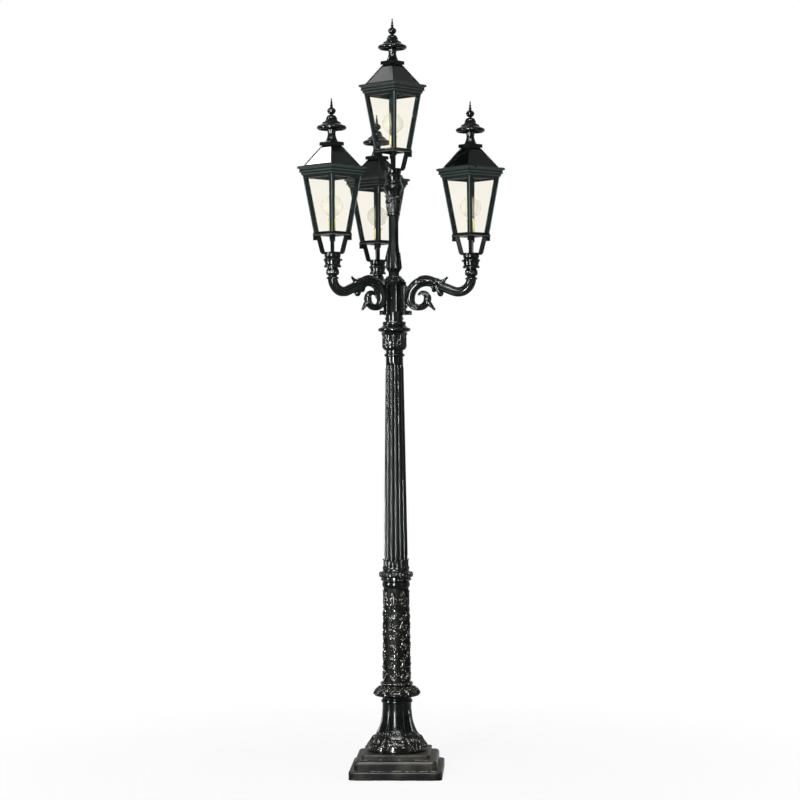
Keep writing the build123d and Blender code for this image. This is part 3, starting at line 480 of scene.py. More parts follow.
def travel_to(spine, spot):
    """Travel along a spine to the point of it that is nearest to a spot."""
    nearest = min(range(len(spine)), key=lambda place: (spine[place] - spot).length)
    return length_of(spine[: nearest + 1])


def wrap_on_arm(piece, spine, halves, start, around, radius=CREST):
    """Lay flat ornament on an arm: Y goes along it from a start, X round it, and Z stands off it."""
    for vertex in piece.data.vertices:
        x, y, z = vertex.co
        vertex.co = on_arm(spine, halves, start + y, around + x / radius, z)
    mend_mesh(piece)
    return piece


def arm_places():
    """Turn of each arm about the post, from the socket that it carries."""
    places = {}
    for name in ARMS:
        low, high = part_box(f"socket_{name}")
        middle = (low + high) / 2
        places[name] = spin(atan2(middle.y, middle.x))
    return places


def lantern_places():
    """Seat of each lantern: on top of its socket, turned as its hinge is."""
    axes = {joint["child"]: joint["axis"] for joint in frame["joints"]}
    places = {}
    for name in SIDES:
        low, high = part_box(f"socket_{name}")
        axis = axes[f"lantern_roof_{name}"]
        seat = Matrix.Translation(((low.x + high.x) / 2, (low.y + high.y) / 2, high.z))
        places[name] = seat @ spin(atan2(axis[1], axis[0]) - pi / 2)
    return places


# Finishes


def node(tree, kind, inputs=None, **settings):
    """Add a shader node with its settings, values and links; a node stands for its first output."""
    made = tree.nodes.new(f"ShaderNode{kind}")
    for name, value in settings.items():
        setattr(made, name, value)
    for socket, value in (inputs or {}).items():
        if isinstance(value, bpy.types.Node):
            value = value.outputs[0]
        if isinstance(value, bpy.types.NodeSocket):
            tree.links.new(value, made.inputs[socket])
        else:
            made.inputs[socket].default_value = value
    return made


def new_finish(name):
    """Empty material, its node tree and its Object coordinates."""
    if name in bpy.data.materials:
        bpy.data.materials.remove(bpy.data.materials[name])
    finish = bpy.data.materials.new(name)
    finish.use_nodes = True
    tree = finish.node_tree
    tree.nodes.clear()
    return finish, tree, node(tree, "TexCoord").outputs["Object"]


def close_finish(finish, shader):
    """Link a shader to the material's output and hand the finish back."""
    node(finish.node_tree, "OutputMaterial", {"Surface": shader})
    return finish


def solid(colour):
    """Colour with full alpha, as a socket takes it."""
    return (*colour, 1.0)


# Sockets of a Mix node that mixes colours
SHARE, UNDER, OVER, MIXED = 0, 6, 7, 2


def stove_enamel(colours, name, dust=0.3, chip_glints=0, smooth=0.09, rough=0.2, glint_rub=0, shine=0.06, tone=None):
    """Gloss enamel, sprayed on sand castings and stoved: a deep even gloss over a faintly pebbled skin."""
    finish, tree, place = new_finish(name)
    peel = node(tree, "TexNoise", {"Vector": place, "Scale": 1 / (14 * MM), "Detail": 3.0})
    patches = node(tree, "TexNoise", {"Vector": place, "Scale": 1 / (160 * MM), "Detail": 4.0})
    # Patches are bleached, or dusty on the chipped plinth
    span = {"Value": patches, "From Min": 0.45, "From Max": 0.8, "To Max": 0.45}
    coats = [(colours.dust if chip_glints else colours.worn, node(tree, "MapRange", span))]
    # Dust lies on faces that look up, in patches
    normal = node(tree, "NewGeometry").outputs["True Normal"]
    facing = node(tree, "SeparateXYZ", {"Vector": normal}).outputs["Z"]
    grit = node(tree, "TexNoise", {"Vector": place, "Scale": 1 / (35 * MM), "Detail": 6.0})
    span = {"Value": facing, "From Min": 0.75, "From Max": 1.0, "To Max": dust}
    ledge = node(tree, "MapRange", span)
    film = node(tree, "Math", {0: ledge, 1: grit}, operation="MULTIPLY")
    coats.append((colours.dust, film))
    if chip_glints:
        # Chips of primer lie along the edges, where a rounded normal leaves the face's own; they also stand in for
        # painted highlights on the edges
        rounded = node(tree, "Bevel", {"Radius": 5 * MM}, samples=6)
        match = node(tree, "VectorMath", {0: rounded, 1: normal}, operation="DOT_PRODUCT")
        span = {"Value": match.outputs["Value"], "From Min": 0.99, "From Max": 0.9}
        edge = node(tree, "MapRange", span)
        speck = node(tree, "TexNoise", {"Vector": place, "Scale": 1 / (24 * MM), "Detail": 5.0})
        chip_glint_mask = node(tree, "Math", {0: speck, 1: edge}, operation="MULTIPLY")
        span = {"Value": chip_glint_mask, "From Min": chip_glints, "From Max": chip_glints + 0.03}
        coats.append((colours.primer_glint, node(tree, "MapRange", span)))
    if glint_rub:
        # Small pale spots, scattered by noise, are painted glints of the relief, with some pale rubbing
        spots = node(tree, "TexNoise", {"Vector": place, "Scale": 1 / (8 * MM), "Detail": 2.0})
        span = {"Value": spots, "From Min": glint_rub, "From Max": glint_rub + 0.12, "To Max": 0.8}
        coats.append((colours.rubbed_glints, node(tree, "MapRange", span)))
    # A lighter tone, given for the lantern frames and arm ribs, is a painted sheen
    skin = solid(tone or colours.enamel)
    for colour, share in coats:
        layers = {UNDER: skin, OVER: solid(colour), SHARE: share}
        skin = node(tree, "Mix", layers, data_type="RGBA").outputs[MIXED]
    # The gloss changes with the patches, and dust dulls it
    span = {"Value": patches, "From Min": 0.3, "From Max": 0.8, "To Min": smooth, "To Max": rough}
    gloss = node(tree, "MapRange", span)
    matt = node(tree, "Math", {0: film, 1: gloss}, operation="ADD")
    bump = {"Height": peel, "Strength": 0.08, "Distance": 0.6 * MM}
    pebble = node(tree, "Bump", bump)
    coat = {"Base Color": skin, "Roughness": matt, "Normal": pebble, "Specular IOR Level": shine}
    return close_finish(finish, node(tree, "BsdfPrincipled", coat))


def blackened_steel(colours):
    """Steel blackened in oil: a dark grey metal with a fine mottle."""
    finish, tree, place = new_finish("oil_blackened_steel")
    mottle = node(tree, "TexVoronoi", {"Vector": place, "Scale": 1 / (4 * MM)})
    deep = [0.7 * share for share in colours.steel]
    layers = {UNDER: solid(deep), OVER: solid(colours.steel), SHARE: mottle}
    tone = node(tree, "Mix", layers, data_type="RGBA").outputs[MIXED]
    rough = node(tree, "MapRange", {"Value": mottle, "To Min": 0.3, "To Max": 0.45})
    coat = {"Base Color": tone, "Roughness": rough, "Metallic": 1.0}
    return close_finish(finish, node(tree, "BsdfPrincipled", coat))


def pane_glass(colours):
    """Drawn sheet glass: clear, a little cream, with long faint ripples from drawing."""
    finish, tree, place = new_finish("drawn_pane_glass")
    ripple = node(tree, "TexNoise", {"Vector": place, "Scale": 1 / (70 * MM), "Detail": 1.0})
    bump = {"Height": ripple, "Strength": 0.2, "Distance": 1 * MM}
    wave = node(tree, "Bump", bump)
    # The index is low, because a thin pane hardly shifts what is behind it
    coat = {
        "Base Color": solid(colours.pane),
        "Roughness": 0.02,
        "Transmission Weight": 1.0,
        "IOR": 1.15,
        "Normal": wave,
    }
    return close_finish(finish, node(tree, "BsdfPrincipled", coat))


def opal_glass(colours):
    """Opal glass of a globe lamp: thin, milky and smooth, with a faint cloud in it."""
    finish, tree, place = new_finish("opal_lamp_glass")
    milk = node(tree, "TexNoise", {"Vector": place, "Scale": 1 / (40 * MM), "Detail": 2.0})
    deep = [0.93 * share for share in colours.opal]
    layers = {UNDER: solid(colours.opal), OVER: solid(deep), SHARE: milk}
    tone = node(tree, "Mix", layers, data_type="RGBA").outputs[MIXED]
    coat = {"Base Color": tone, "Roughness": 0.2, "Alpha": 0.22}
    return close_finish(finish, node(tree, "BsdfPrincipled", coat))


def plain_paint(name, colour, roughness, grain, shine=0.5):
    """Paint or moulding with a fine grain in its tone and gloss."""
    finish, tree, place = new_finish(name)
    specks = node(tree, "TexNoise", {"Vector": place, "Scale": 1 / grain, "Detail": 3.0})
    deep = [0.8 * share for share in colour]
    layers = {UNDER: solid(colour), OVER: solid(deep), SHARE: specks}
    tone = node(tree, "Mix", layers, data_type="RGBA").outputs[MIXED]
    span = {"Value": specks, "To Min": roughness - 0.08, "To Max": roughness + 0.08}
    rough = node(tree, "MapRange", span)
    coat = {"Base Color": tone, "Roughness": rough, "Specular IOR Level": shine}
    return close_finish(finish, node(tree, "BsdfPrincipled", coat))


def finish_named(name):
    """Finish that the castings' operator has made."""
    finish = bpy.data.materials.get(name)
    if finish is None:
        raise RuntimeError(f"{name} isn't made yet: finish the castings first")
    return finish


class LAMPPOST_OT_finish_castings(bpy.types.Operator):
    """Make the finishes and put them on the castings, the glass and the lamps"""

    bl_idname = "lamppost.finish_castings"
    bl_label = "Finish castings"

    def execute(self, context):
        colours = context.scene.lamp_post_finishes
        finishes = {
            "enamel": stove_enamel(colours, ENAMEL),
            "bare_steel": blackened_steel(colours),
            "pane_glass": pane_glass(colours),
            "lamp_glass": opal_glass(colours),
            "holder": plain_paint("lampholder_moulding", colours.holder, roughness=0.3, grain=12 * MM),
            "tray_enamel": plain_paint("tray_paint", colours.tray, roughness=0.45, grain=20 * MM),
        }
        # The plinth's pale chips along its edges are partly painted highlights
        stove_enamel(colours, CHIPPED_GLINTS, chip_glints=0.49, smooth=0.24, rough=0.4, shine=0.025)
        stove_enamel(colours, SHEET, dust=0.1, smooth=0.05, rough=0.08)
        stove_enamel(colours, STIPPLED, smooth=0.35, rough=0.5, shine=0.012)
        # Pale spots on the relief: painted glints, with some pale rubbing
        stove_enamel(colours, RUB_GLINTS, glint_rub=0.58)
        # The frames' lighter tone is a painted sheen
        stove_enamel(colours, FRAME_SHEEN, dust=0.1, tone=colours.frames)
        # The lighter grey of the edge beads and corner bars is a painted highlight
        plain_paint(EDGE_HIGHLIGHT, colours.edges, roughness=0.3, grain=30 * MM, shine=0.04)
        plain_paint(CORNER_HIGHLIGHT, colours.corners, roughness=0.3, grain=30 * MM, shine=0.04)
        for part in frame["record"]["subparts"]:
            mesh = frame["nodes"][part["node"]].data
            mesh.materials.clear()
            mesh.materials.append(finishes[part["material_slot"]])
        chosen = {"base_plinth": CHIPPED_GLINTS, "lower_shaft": STIPPLED, "fluted_column": SHEET}
        # Screws, bolts and pins are painted over with the castings
        for name in ("set_screws", "arm_bolts", "lock_screws", "hinge_pins"):
            chosen[name] = ENAMEL
        for name in SIDES:
            chosen[f"roof_{name}"] = SHEET
            chosen[f"lantern_frame_{name}"] = FRAME_SHEEN
        for name, finish in chosen.items():
            frame["nodes"][name].data.materials[0] = finish_named(finish)
        return {"FINISHED"}


# Ornament of the post


class LAMPPOST_OT_pedestal_relief(bpy.types.Operator):
    """Cast the palmettes, scrolls, leaf tips and reeds of the pedestal"""

    bl_idname = "lamppost.pedestal_relief"
    bl_label = "Pedestal relief"

    def execute(self, context):
        sizes = context.scene.lamp_post_ornament
        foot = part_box("pedestal")[0].z
        path = outline(["pedestal"], foot + 3 * MM, foot + 120 * MM, turn=radians(4))
        # A rosette in an oval, with the level of its middle in millimetres
        middle = 30
        parts = []
        for petal in range(6):
            blade = leaf(sizes, 15, 10, 1, 1, 0, across=4, along=6, fine=False)
            seat = Matrix.Translation((0, middle * MM, 0))
            blade.data.transform(seat @ spin(petal * pi / 3))
            parts.append(blade)
        turns = [2 * pi * step / 28 for step in range(28)]
        oval = [(26 * MM * cos(t), (middle + 22 * sin(t)) * MM, 1 * MM) for t in turns]
        parts.append(tube(oval, [3.6 * MM] * len(oval), cyclic=True, sides=1))
        parts.append(shift(bead(6 * MM, (1, 1, 0.9)), 0, middle * MM, 3 * MM))
        # Three leaves fan out over the oval, between a scroll and a taller leaf on each side
        for lean in (-34, 0, 34):
            blade = leaf(sizes, 38, 15, 1, 1, 2, across=4, along=8)
            seat = Matrix.Translation((0, 50 * MM, 0))
            blade.data.transform(seat @ spin(radians(-lean)))
            parts.append(blade)
        for side in (1, -1):
            scroll = curl(13, 1.5, 4.5, 2, side < 0)
            parts.append(shift(scroll, side * 30 * MM, 24 * MM, 1 * MM))
            tip = leaf(sizes, 58, 24, 3, 1, 2)
            parts.append(shift(tip, side * 40 * MM, 44 * MM, 0))
        settle(ring_of(join(parts), 8, path, FRONT), "pedestal_relief", RUB_GLINTS)
        # Round reeds stand on the lands of the flare
        reeds = 48
        land = radians(5.4)
        # Share of the pitch that a reed's radius takes, its depth in the casting and its rounded ends
        fill, sunk, end = 0.36, 0.45, 0.4
        flare = outline(["pedestal"], foot + 92 * MM, foot + 226 * MM, turn=land)
        rise = length_of(flare)
        points = []
        radii = []
        steps = 16
        for step in range(steps + 1):
            travel = rise * step / steps
            radius = fill * 2 * pi * along_path(flare, travel)[0].x / reeds
            radii.append(end * radius if step in (0, steps) else radius)
            points.append((0, travel, -sunk * radius))
        bars = ring_of(tube(points, radii, sides=1), reeds, flare, land)
        settle(bars, "pedestal_reeds", ENAMEL, angle=60)
        return {"FINISHED"}


class LAMPPOST_OT_collar_leaves(bpy.types.Operator):
    """Lay drooping leaves over the collar above the pedestal"""

    bl_idname = "lamppost.collar_leaves"
    bl_label = "Collar leaves"

    def execute(self, context):
        sizes = context.scene.lamp_post_ornament
        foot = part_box("leaf_collar")[0].z
        count = 16
        first = pi / count
        path = outline(["leaf_collar"], foot + 62 * MM, foot + 22 * MM, turn=first)
        overhang = 5
        blade = leaf(sizes, length_of(path) / MM + overhang, 50, 3, 1.4, 0)
        settle(ring_of(blade, count, path, first), "collar_leaves", RUB_GLINTS)
        settle(bead_ring(6 * MM, (1, 1, 1.2), 36, 84 * MM, foot + 77 * MM), "collar_beads", RUB_GLINTS)
        return {"FINISHED"}


class LAMPPOST_OT_shaft_vine(bpy.types.Operator):
    """Wind the vine round the lower shaft, with its leaves, tendrils and berries"""

    bl_idname = "lamppost.shaft_vine"
    bl_label = "Shaft vine"

    def execute(self, context):
        sizes = context.scene.lamp_post_ornament
        low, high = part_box("lower_shaft")
        path = outline(["lower_shaft"], low.z + 1 * MM, high.z - 1 * MM, steps=8)
        first = radians(-100)
        strands = 7
        swing = 16 * MM
        wave = 112 * MM
        length = 396 * MM
        foot = 8 * MM
        steps = 72
        stem = []
        for step in range(steps + 1):
            climb = length * step / steps
            stem.append((swing * sin(2 * pi * climb / wave), foot + climb, 1 * MM))
        parts = [tube(stem, [4 * MM] * len(stem), sides=1)]
        # Two columns of leaves, tendrils and berries, with a pitch, a reach and a sway in millimetres
        draw = Random(11)
        rows = 14
        pitch = 27.5
        reach = 16
        stagger = 8
        sway = 3
        for place in range(2 * rows):
            row, column = divmod(place, 2)
            side = 1 if column else -1
            x = (side * reach + (stagger if row % 2 else -stagger) + draw.uniform(-sway, sway)) * MM
            y = (10 + pitch * row + draw.uniform(-sway, sway)) * MM
            spot = Matrix.Translation((x, y, 1 * MM))
            lean = spin(radians(side * 45 + draw.uniform(-25, 25)))
            kind = (row + 2 * column) % 4
            if kind in (0, 2):
                blade = leaf(sizes, 42, 30, 2, 0.9, 1.5, 4, 8, fine=False)
                blade.data.transform(spot @ lean)
                parts.append(blade)
            elif kind == 1:
                roll = curl(10, 1.3, 3.4, 2, side > 0)
                roll.data.transform(spot @ lean)
                parts.append(roll)
            else:
                for across, up in ((-6, 4), (6, 4), (0, 13), (0, -4)):
                    fruit = bead(5 * MM, (1, 1, 0.9), rings=4)
                    fruit.data.transform(spot @ Matrix.Translation((across * MM, up * MM, 1 * MM)))
                    parts.append(fruit)
        settle(ring_of(join(parts), strands, path, first), "shaft_vine", RUB_GLINTS)
        top = outline(["lower_shaft"], high.z - 104 * MM, high.z - 1 * MM, steps=6)
        blade = leaf(sizes, 96, 56, 3, 1, 2)
        settle(ring_of(blade, 8, top, first), "shaft_leaves", RUB_GLINTS)
        hoops = [hoop(72 * MM, low.z + 254 * MM, 4 * MM), hoop(70.5 * MM, high.z - 106 * MM, 4.5 * MM)]
        settle(join(hoops), "shaft_hoops", ENAMEL)
        return {"FINISHED"}


class LAMPPOST_OT_band_ornament(bpy.types.Operator):
    """Set the gadroons, beads and leaf cup of the ring cluster, and the column's fillets"""

    bl_idname = "lamppost.band_ornament"
    bl_label = "Band ornament"

    def execute(self, context):
        sizes = context.scene.lamp_post_ornament
        low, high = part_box("shaft_band")
        gadroons = bead_ring(9 * MM, (0.8, 0.95, 1.6), 30, 87.5 * MM, low.z + 75 * MM)
        beads = bead_ring(4 * MM, (1, 1, 1), 56, 81 * MM, low.z + 48 * MM)
        settle(join([gadroons, beads]), "band_gadroons", RUB_GLINTS)
        flutes = 16
        land = pi / flutes
        cup = outline(["shaft_band", "fluted_column"], high.z - 18 * MM, high.z + 36 * MM, turn=land)
        blade = leaf(sizes, 62, 30, 2, 1, 5, across=6, along=10)
        settle(ring_of(blade, flutes, cup, land), "band_leaves", ENAMEL)
        # Round fillets stand between the flutes of the column, sunk in it and with rounded ends
        foot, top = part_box("fluted_column")
        stop_height = 52 * MM
        side = outline(["fluted_column"], foot.z + stop_height, top.z - stop_height, turn=land, steps=6)
        rise = length_of(side)
        bar = 4.6 * MM
        stops = [0, 0.01, 0.25, 0.5, 0.75, 0.99, 1]
        radii = [0.4 * bar] + [bar] * 5 + [0.4 * bar]
        line = tube([(0, rise * stop, -0.6 * bar) for stop in stops], radii)
        settle(ring_of(line, flutes, side, land), "column_fillets", STIPPLED, angle=60)
        return {"FINISHED"}


class LAMPPOST_OT_capital_leaves(bpy.types.Operator):
    """Stand the leaf tongues round the capital"""

    bl_idname = "lamppost.capital_leaves"
    bl_label = "Capital leaves"

    def execute(self, context):
        sizes = context.scene.lamp_post_ornament
        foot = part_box("capital")[0].z
        path = outline(["capital"], foot + 42 * MM, foot + 134 * MM)
        length = length_of(path) / MM
        tall = leaf(sizes, length, 46, 3, 1.2, 2)
        short = leaf(sizes, 0.6 * length, 34, 2, 0.9, 2)
        count = 8
        leaves = [ring_of(tall, count, path, FRONT), ring_of(short, count, path, FRONT + pi / count)]
        settle(join(leaves), "capital_leaves", ENAMEL)
        return {"FINISHED"}


# Hub: the height of its clamp, and its own radius over the corners and height
HUB_CLAMP = 52 * MM
HUB_RADIUS = 53 * MM
HUB_HEIGHT = 150 * MM


class LAMPPOST_OT_hub_lattice(bpy.types.Operator):
    """Put the crossed bars on the hub's faces and the leaves on its cap"""

    bl_idname = "lamppost.hub_lattice"
    bl_label = "Hub lattice"

    def execute(self, context):
        sizes = context.scene.lamp_post_ornament
        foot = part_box("crown_hub")[0].z + HUB_CLAMP
        flat = HUB_RADIUS * cos(pi / 6)
        half = 17 * MM
        bars = []
        for side in (-half, half):
            line = [(flat, side, foot + 18 * MM), (flat, -side, foot + (HUB_HEIGHT - 12 * MM))]
            bars.append(tube(line, [2.2 * MM] * 2, sides=1))
        bars.append(shift(bead(7 * MM, (0.7, 1, 1)), flat, 0, foot + HUB_HEIGHT / 2 + 3 * MM))
        right = arm_places()["right"]
        first = right @ spin(radians(30))
        faces = [first @ spin(place * pi / 3) for place in range(6)]
        # The arms sit on every second corner, and the others have an edge bar
        line = [(HUB_RADIUS, 0, foot + 2 * MM), (HUB_RADIUS, 0, foot + HUB_HEIGHT)]
        edge = tube(line, [3 * MM] * 2)
        corners = [right @ spin(radians(60 + 120 * place)) for place in range(3)]
        settle(join(copies(join(bars), faces) + copies(edge, corners)), "hub_lattice", ENAMEL)
        low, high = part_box("hub_cap")
        path = outline(["hub_cap"], low.z + 2 * MM, high.z - 1 * MM)
        blade = leaf(sizes, 40, 34, 2, 1, 3, across=6, along=10)
        settle(ring_of(blade, 8, path, FRONT), "hub_cap_leaves", ENAMEL)
        return {"FINISHED"}


class LAMPPOST_OT_stem_leaves(bpy.types.Operator):
    """Dress the stem's swell and the leaf vase under the top lantern"""

    bl_idname = "lamppost.stem_leaves"
    bl_label = "Stem leaves"

    def execute(self, context):
        sizes = context.scene.lamp_post_ornament
        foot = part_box("stem")[0].z
        first = radians(22.5)
        swell = outline(["stem"], foot + 22 * MM, foot + 150 * MM, turn=first)
        blade = leaf(sizes, 110, 26, 3, 0.8, 0, across=6, along=12)
        settle(ring_of(blade, 8, swell, first), "stem_leaves", ENAMEL)
        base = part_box("stem_capital")[0].z
        vase = outline(["stem_capital"], base + 4 * MM, base + 131 * MM)
        tall = leaf(sizes, 122, 36, 3, 1, 12)
        short = leaf(sizes, 96, 32, 2, 0.8, 8)
        leaves = [ring_of(tall, 6, vase, FRONT), ring_of(short, 6, vase, radians(-60))]
        settle(join(leaves), "stem_capital_leaves", ENAMEL)
        return {"FINISHED"}


# Leaves on an arm's crest: turn round the arm, then length, width and roll in millimetres
CREST_LEAVES = ((0.0, 126, 46, 6), (1.35, 138, 62, 3), (-1.35, 138, 62, 3))


class LAMPPOST_OT_arm_ornament(bpy.types.Operator):
    """Run the ribs along the arms and lay their acanthus leaves"""

    bl_idname = "lamppost.arm_ornament"
    bl_label = "Arm ornament"

    def execute(self, context):
        sizes = context.scene.lamp_post_ornament
        spine, halves = arm_spine()
        whole = length_of(spine)
        ribs = []
        steps = 110
        for place in range(sizes.rib_count):
            around = 2 * pi * (place + 0.5) / sizes.rib_count
            points = []
            radii = []
            for step in range(steps + 1):
                share = step / steps
                points.append(on_arm(spine, halves, whole * step / steps, around, -0.1 * sizes.rib))
                # From halfway on, a rib thins to about a third
                radii.append(sizes.rib * (1 - 0.7 * max(0, share - 0.5) / 0.5))
            ribs.append(tube(points, radii, sides=1))
        hub_foot = arm_hub_foot()
        scroll = Vector((SCROLL_REACH, hub_foot + SCROLL_RISE))
        crest = travel_to(spine, scroll + Vector((0, SCROLL_RADIUS)))
        leaves = []
        for around, length, width, bend in CREST_LEAVES:
            blade = leaf(sizes, length, width, 5, 1.5, bend, 10, 24)
            blade.data.transform(spin(pi))
            leaves.append(wrap_on_arm(blade, spine, halves, crest + 45 * MM, around))
        for around in (0.9, -0.9):
            blade = leaf(sizes, 90, 44, 4, 1.2, 4, 8, 18)
            leaves.append(wrap_on_arm(blade, spine, halves, crest + 30 * MM, around))
        bottom = travel_to(spine, scroll + Vector((VOLUTE_RADII[0] - SCROLL_RADIUS, -VOLUTE_RADII[0])))
        for side in (1, -1):
            around = side * pi / 2
            blade = leaf(sizes, 74, 42, 4, 1, 3, 8, 18)
            leaves.append(wrap_on_arm(blade, spine, halves, bottom - 16 * MM, around, 20 * MM))
            for start, end, thick, thin in OUTGROWTHS:
                line = [Vector((reach * MM, hub_foot + level * MM)) for reach, level in (start, end)]
                length = length_of(line) / MM + 0.6 * thin
                blade = leaf(sizes, length, 2.4 * thick, 3, 0.7, -0.3 * thin, 8, 14)
                leaves.append(wrap_on_arm(blade, line, [thick * MM, thin * MM], 0, around, thick * MM))
            eye = curl(11, 1.4, 3.6, 2, False)
            eye.data.transform(Matrix.Rotation(pi / 2, 4, "X"))
            leaves.append(shift(eye, 256 * MM, side * 14.5 * MM, hub_foot + 99 * MM))
        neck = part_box("socket_right")[1].z
        lobes = bead_ring(8 * MM, (0.6, 0.95, 1.9), 12, 31 * MM, neck - 96 * MM)
        pearls = bead_ring(4.6 * MM, (1, 1, 1), 16, 29.5 * MM, neck - 128 * MM)
        leaves.append(shift(join([lobes, pearls]), ARM_REACH, 0, 0))
        places = arm_places()
        rib_sets = copies(join(ribs), places.values())
        leaf_sets = copies(join(leaves), places.values())
        for name, rib_set, leaf_set in zip(places, rib_sets, leaf_sets):
            # The ribs take the frames' lighter tone, a painted sheen along them
            settle(rib_set, f"arm_ribs_{name}", FRAME_SHEEN)
            settle(leaf_set, f"arm_leaves_{name}", ENAMEL)
        return {"FINISHED"}


# Lanterns


# Trim in millimetres: half the side of a square, and its level over the socket
FRAME_BEADS = ((131, 464), (123, 443), (123, 458), (115, 429), (73, 103))
CORNER_BARS = ((69.5, 117), (109, 420))
EAVES_BEAD = (105, 476)
ROOF_RIDGES = ((105.5, 474), (38, 578))
# Reach, level and radius of the vent cap's hoops, and radius and level of the finial's knobs
CAP_HOOPS = ((46, 705, 4), (28, 727, 3.5))
FINIAL_KNOBS = ((8.5, 799), (7, 813))


def square_hoop(half, level, radius):
    """Mitred square ring of round bar about a lantern's axis, half its side and level in millimetres."""
    half *= MM
    corners = [(half, half), (-half, half), (-half, -half), (half, -half)]
    return tube([(*corner, level * MM) for corner in corners], [radius * 2**0.5] * 4, cyclic=True)


def corner_bars(ends, radius):
    """Round bars along a lantern's four corners, with the half side and level of their ends."""
    bars = []
    for x, y in CORNERS:
        line = [(half * x * MM, half * y * MM, level * MM) for half, level in ends]
        bars.append(tube(line, [radius] * 2))
    return bars


class LAMPPOST_OT_lantern_trim(bpy.types.Operator):
    """Add the beads of the cornices, corner bars and roofs"""

    bl_idname = "lamppost.lantern_trim"
    bl_label = "Lantern trim"

    def execute(self, context):
        sizes = context.scene.lamp_post_ornament
        seats = lantern_places()
        beads = [square_hoop(half, level, sizes.bead) for half, level in FRAME_BEADS]
        corners = corner_bars(CORNER_BARS, sizes.bead)
        ribs = [square_hoop(*EAVES_BEAD, sizes.bead), *corner_bars(ROOF_RIDGES, 1.6 * sizes.bead)]
        ribs += [hoop(reach * MM, level * MM, radius * MM, 40) for reach, level, radius in CAP_HOOPS]
        for radius, level in FINIAL_KNOBS:
            ribs.append(shift(bead(radius * MM, (1, 1, 0.7), rings=6), 0, 0, level * MM))
        trims = [copies(join(parts), seats.values()) for parts in (beads, corners, ribs)]
        for name, bead_set, corner_set, rib_set in zip(seats, *trims):
            # The beads and corner bars carry lighter grey, a painted highlight along them
            settle(bead_set, f"lantern_beads_{name}", EDGE_HIGHLIGHT)
            settle(corner_set, f"corner_beads_{name}", CORNER_HIGHLIGHT)
            settle(rib_set, f"roof_ribs_{name}", ENAMEL, f"lantern_roof_{name}")
        return {"FINISHED"}


# Stage


# Lamps: place, width and height in metres, power in watts, and whether gloss alone shows them
LAMPS = {
    "key_lamp": ((-2.05, -5.64, 2.3), (0.8, 5.0), 240, False),
    "fill_lamp": ((4.5, -3.5, 2.3), (0.8, 5.0), 80, False),
    "top_lamp": ((-0.3, -3.6, 6.2), (5.0, 0.8), 80, False),
    "front_gleam": ((-1.45, -5.82, 2.3), (0.25, 5.0), 5000, True),
    "left_gleam": ((-5.4, -2.63, 2.3), (0.2, 5.0), 2800, True),
    "right_gleam": ((4.5, -3.5, 2.3), (0.12, 5.0), 420, True),
    "top_gleam": ((-0.3, -3.6, 6.2), (5.0, 0.3), 9000, True),
    "top_roof_gleam": ((-2.9, 1.43, 7.0), (0.5, 0.5), 7, True),
    "roof_gleam": ((-3.32, 0.97, 6.43), (0.5, 0.5), 90, True),
}
LAMP_AIM = Vector((0, 0, 2.1))
SOFT_LIGHT = 0.3
# Share of the floor that looks plain white, with the rest left for its shadow
FLOOR_WHITE = 0.88
WHITE = (1, 1, 1, 1)


def shown_rays(tree):
    """1 for the rays that show the white surroundings: to the camera, off gloss and through glass."""
    path = node(tree, "LightPath")
    share = path.outputs["Is Camera Ray"]
    for ray in ("Is Glossy Ray", "Is Transmission Ray"):
        share = node(tree, "Math", {0: share, 1: path.outputs[ray]}, operation="MAXIMUM")
    return share


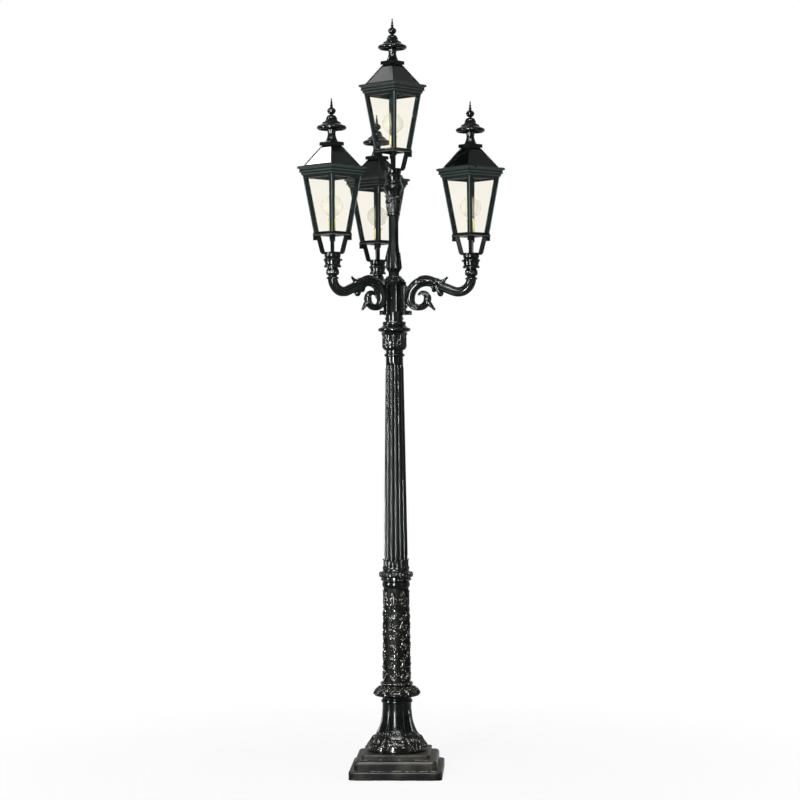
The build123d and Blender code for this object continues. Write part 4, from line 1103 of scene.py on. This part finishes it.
class LAMPPOST_OT_stage(bpy.types.Operator):
    """Set the floor, the light and the camera"""

    bl_idname = "lamppost.stage"
    bl_label = "Stage"

    def execute(self, context):
        scene = context.scene
        sizes = scene.lamp_post_stage
        scene.view_settings.view_transform = "Standard"
        self.make_floor(sizes)
        self.make_world(scene)
        self.make_lights()
        self.make_camera(scene, sizes)
        return {"FINISHED"}

    def make_floor(self, sizes):
        """Round pale floor that fades out at its edge."""
        clear_selection()
        bpy.ops.mesh.primitive_circle_add(vertices=96, radius=sizes.floor, fill_type="NGON")
        floor = active()
        floor.name = "floor"
        finish, tree, place = new_finish("pale_floor")
        reach = node(tree, "VectorMath", {0: place}, operation="LENGTH").outputs["Value"]
        span = {"Value": reach, "From Min": 0.3 * sizes.floor, "From Max": 0.95 * sizes.floor}
        fade = node(tree, "MapRange", span)
        paper = node(tree, "BsdfDiffuse", {"Color": solid(linear("#fafafa"))})
        white = node(tree, "Emission", {"Color": WHITE, "Strength": 1.0})
        shown = node(tree, "Math", {0: shown_rays(tree), 1: FLOOR_WHITE}, operation="MULTIPLY")
        ground = node(tree, "MixShader", {0: shown, 1: paper, 2: white})
        clear = node(tree, "BsdfTransparent")
        shader = node(tree, "MixShader", {0: fade, 1: ground, 2: clear})
        floor.data.materials.append(close_finish(finish, shader))

    def make_world(self, scene):
        """White surroundings for the camera and for reflections, and a plain level of soft light."""
        world = bpy.data.worlds.new("white_room")
        scene.world = world
        world.use_nodes = True
        tree = world.node_tree
        tree.nodes.clear()
        soft = node(tree, "Background", {"Color": WHITE, "Strength": SOFT_LIGHT})
        white = node(tree, "Background", {"Color": WHITE, "Strength": 1.0})
        mix = node(tree, "MixShader", {0: shown_rays(tree), 1: soft, 2: white})
        node(tree, "OutputWorld", {"Surface": mix})

    def make_lights(self):
        """Soft lamps for the colours, and strips that only gloss shows, as a studio's reflectors do."""
        for name, (place, size, power, gleam) in LAMPS.items():
            light = bpy.data.lights.new(name, "AREA")
            light.shape = "RECTANGLE"
            light.size, light.size_y = size
            light.energy = power
            lamp = bpy.data.objects.new(name, light)
            bpy.context.scene.collection.objects.link(lamp)
            lamp.location = place
            lamp.visible_camera = False
            lamp.visible_diffuse = not gleam
            lamp.visible_transmission = not gleam
            aim = LAMP_AIM - Vector(place)
            lamp.rotation_euler = aim.to_track_quat("-Z", "Y").to_euler()

    def make_camera(self, scene, sizes):
        """Nearly level camera at half the post's height, with the post where the photograph has it."""
        lens = bpy.data.cameras.new("camera")
        lens.lens = sizes.lens
        lens.sensor_width = 36
        camera = bpy.data.objects.new("camera", lens)
        scene.collection.objects.link(camera)
        camera.location = (
            sizes.distance * sin(sizes.azimuth),
            -sizes.distance * cos(sizes.azimuth),
            sizes.height,
        )
        frame_pixels = 800
        focal_pixels = sizes.lens / lens.sensor_width * frame_pixels
        axis_pixel = 394.8
        horizon_pixel = 390
        yaw = atan2(axis_pixel - frame_pixels / 2, focal_pixels)
        tilt = atan2(horizon_pixel - frame_pixels / 2, focal_pixels)
        turn = Matrix.Rotation(sizes.azimuth, 3, "Z") @ Matrix.Rotation(yaw, 3, "Z")
        turn = turn @ Matrix.Rotation(pi / 2 + tilt, 3, "X") @ Matrix.Rotation(sizes.roll, 3, "Z")
        camera.rotation_euler = turn.to_euler()
        scene.camera = camera


class LAMPPOST_PT_sidebar(bpy.types.Panel):
    """Steps and sizes of the lamp post"""

    bl_idname = "LAMPPOST_PT_sidebar"
    bl_label = "Lamp post"
    bl_space_type = "VIEW_3D"
    bl_region_type = "UI"
    bl_category = "Lamp post"

    def draw(self, context):
        layout = self.layout
        for name in GROUPS:
            group = getattr(context.scene, name)
            box = layout.box()
            for setting in group.__annotations__:
                box.prop(group, setting)
        for step in STEPS:
            layout.operator(step.bl_idname)


STEPS = (
    LAMPPOST_OT_finish_castings,
    LAMPPOST_OT_pedestal_relief,
    LAMPPOST_OT_collar_leaves,
    LAMPPOST_OT_shaft_vine,
    LAMPPOST_OT_band_ornament,
    LAMPPOST_OT_capital_leaves,
    LAMPPOST_OT_hub_lattice,
    LAMPPOST_OT_stem_leaves,
    LAMPPOST_OT_arm_ornament,
    LAMPPOST_OT_lantern_trim,
    LAMPPOST_OT_stage,
)
GROUPS = {
    "lamp_post_finishes": LampPostFinishes,
    "lamp_post_ornament": LampPostOrnament,
    "lamp_post_stage": LampPostStage,
}


def register():
    for group in GROUPS.values():
        bpy.utils.register_class(group)
    for step in STEPS:
        bpy.utils.register_class(step)
    bpy.utils.register_class(LAMPPOST_PT_sidebar)
    for name, group in GROUPS.items():
        setattr(bpy.types.Scene, name, PointerProperty(type=group))


def unregister():
    for name in GROUPS:
        delattr(bpy.types.Scene, name)
    bpy.utils.unregister_class(LAMPPOST_PT_sidebar)
    for step in reversed(STEPS):
        bpy.utils.unregister_class(step)
    for group in reversed(GROUPS.values()):
        bpy.utils.unregister_class(group)


def main():
    register()
    for step in STEPS:
        area, name = step.bl_idname.split(".")
        getattr(getattr(bpy.ops, area), name)()


if __name__ == "__main__":
    main()
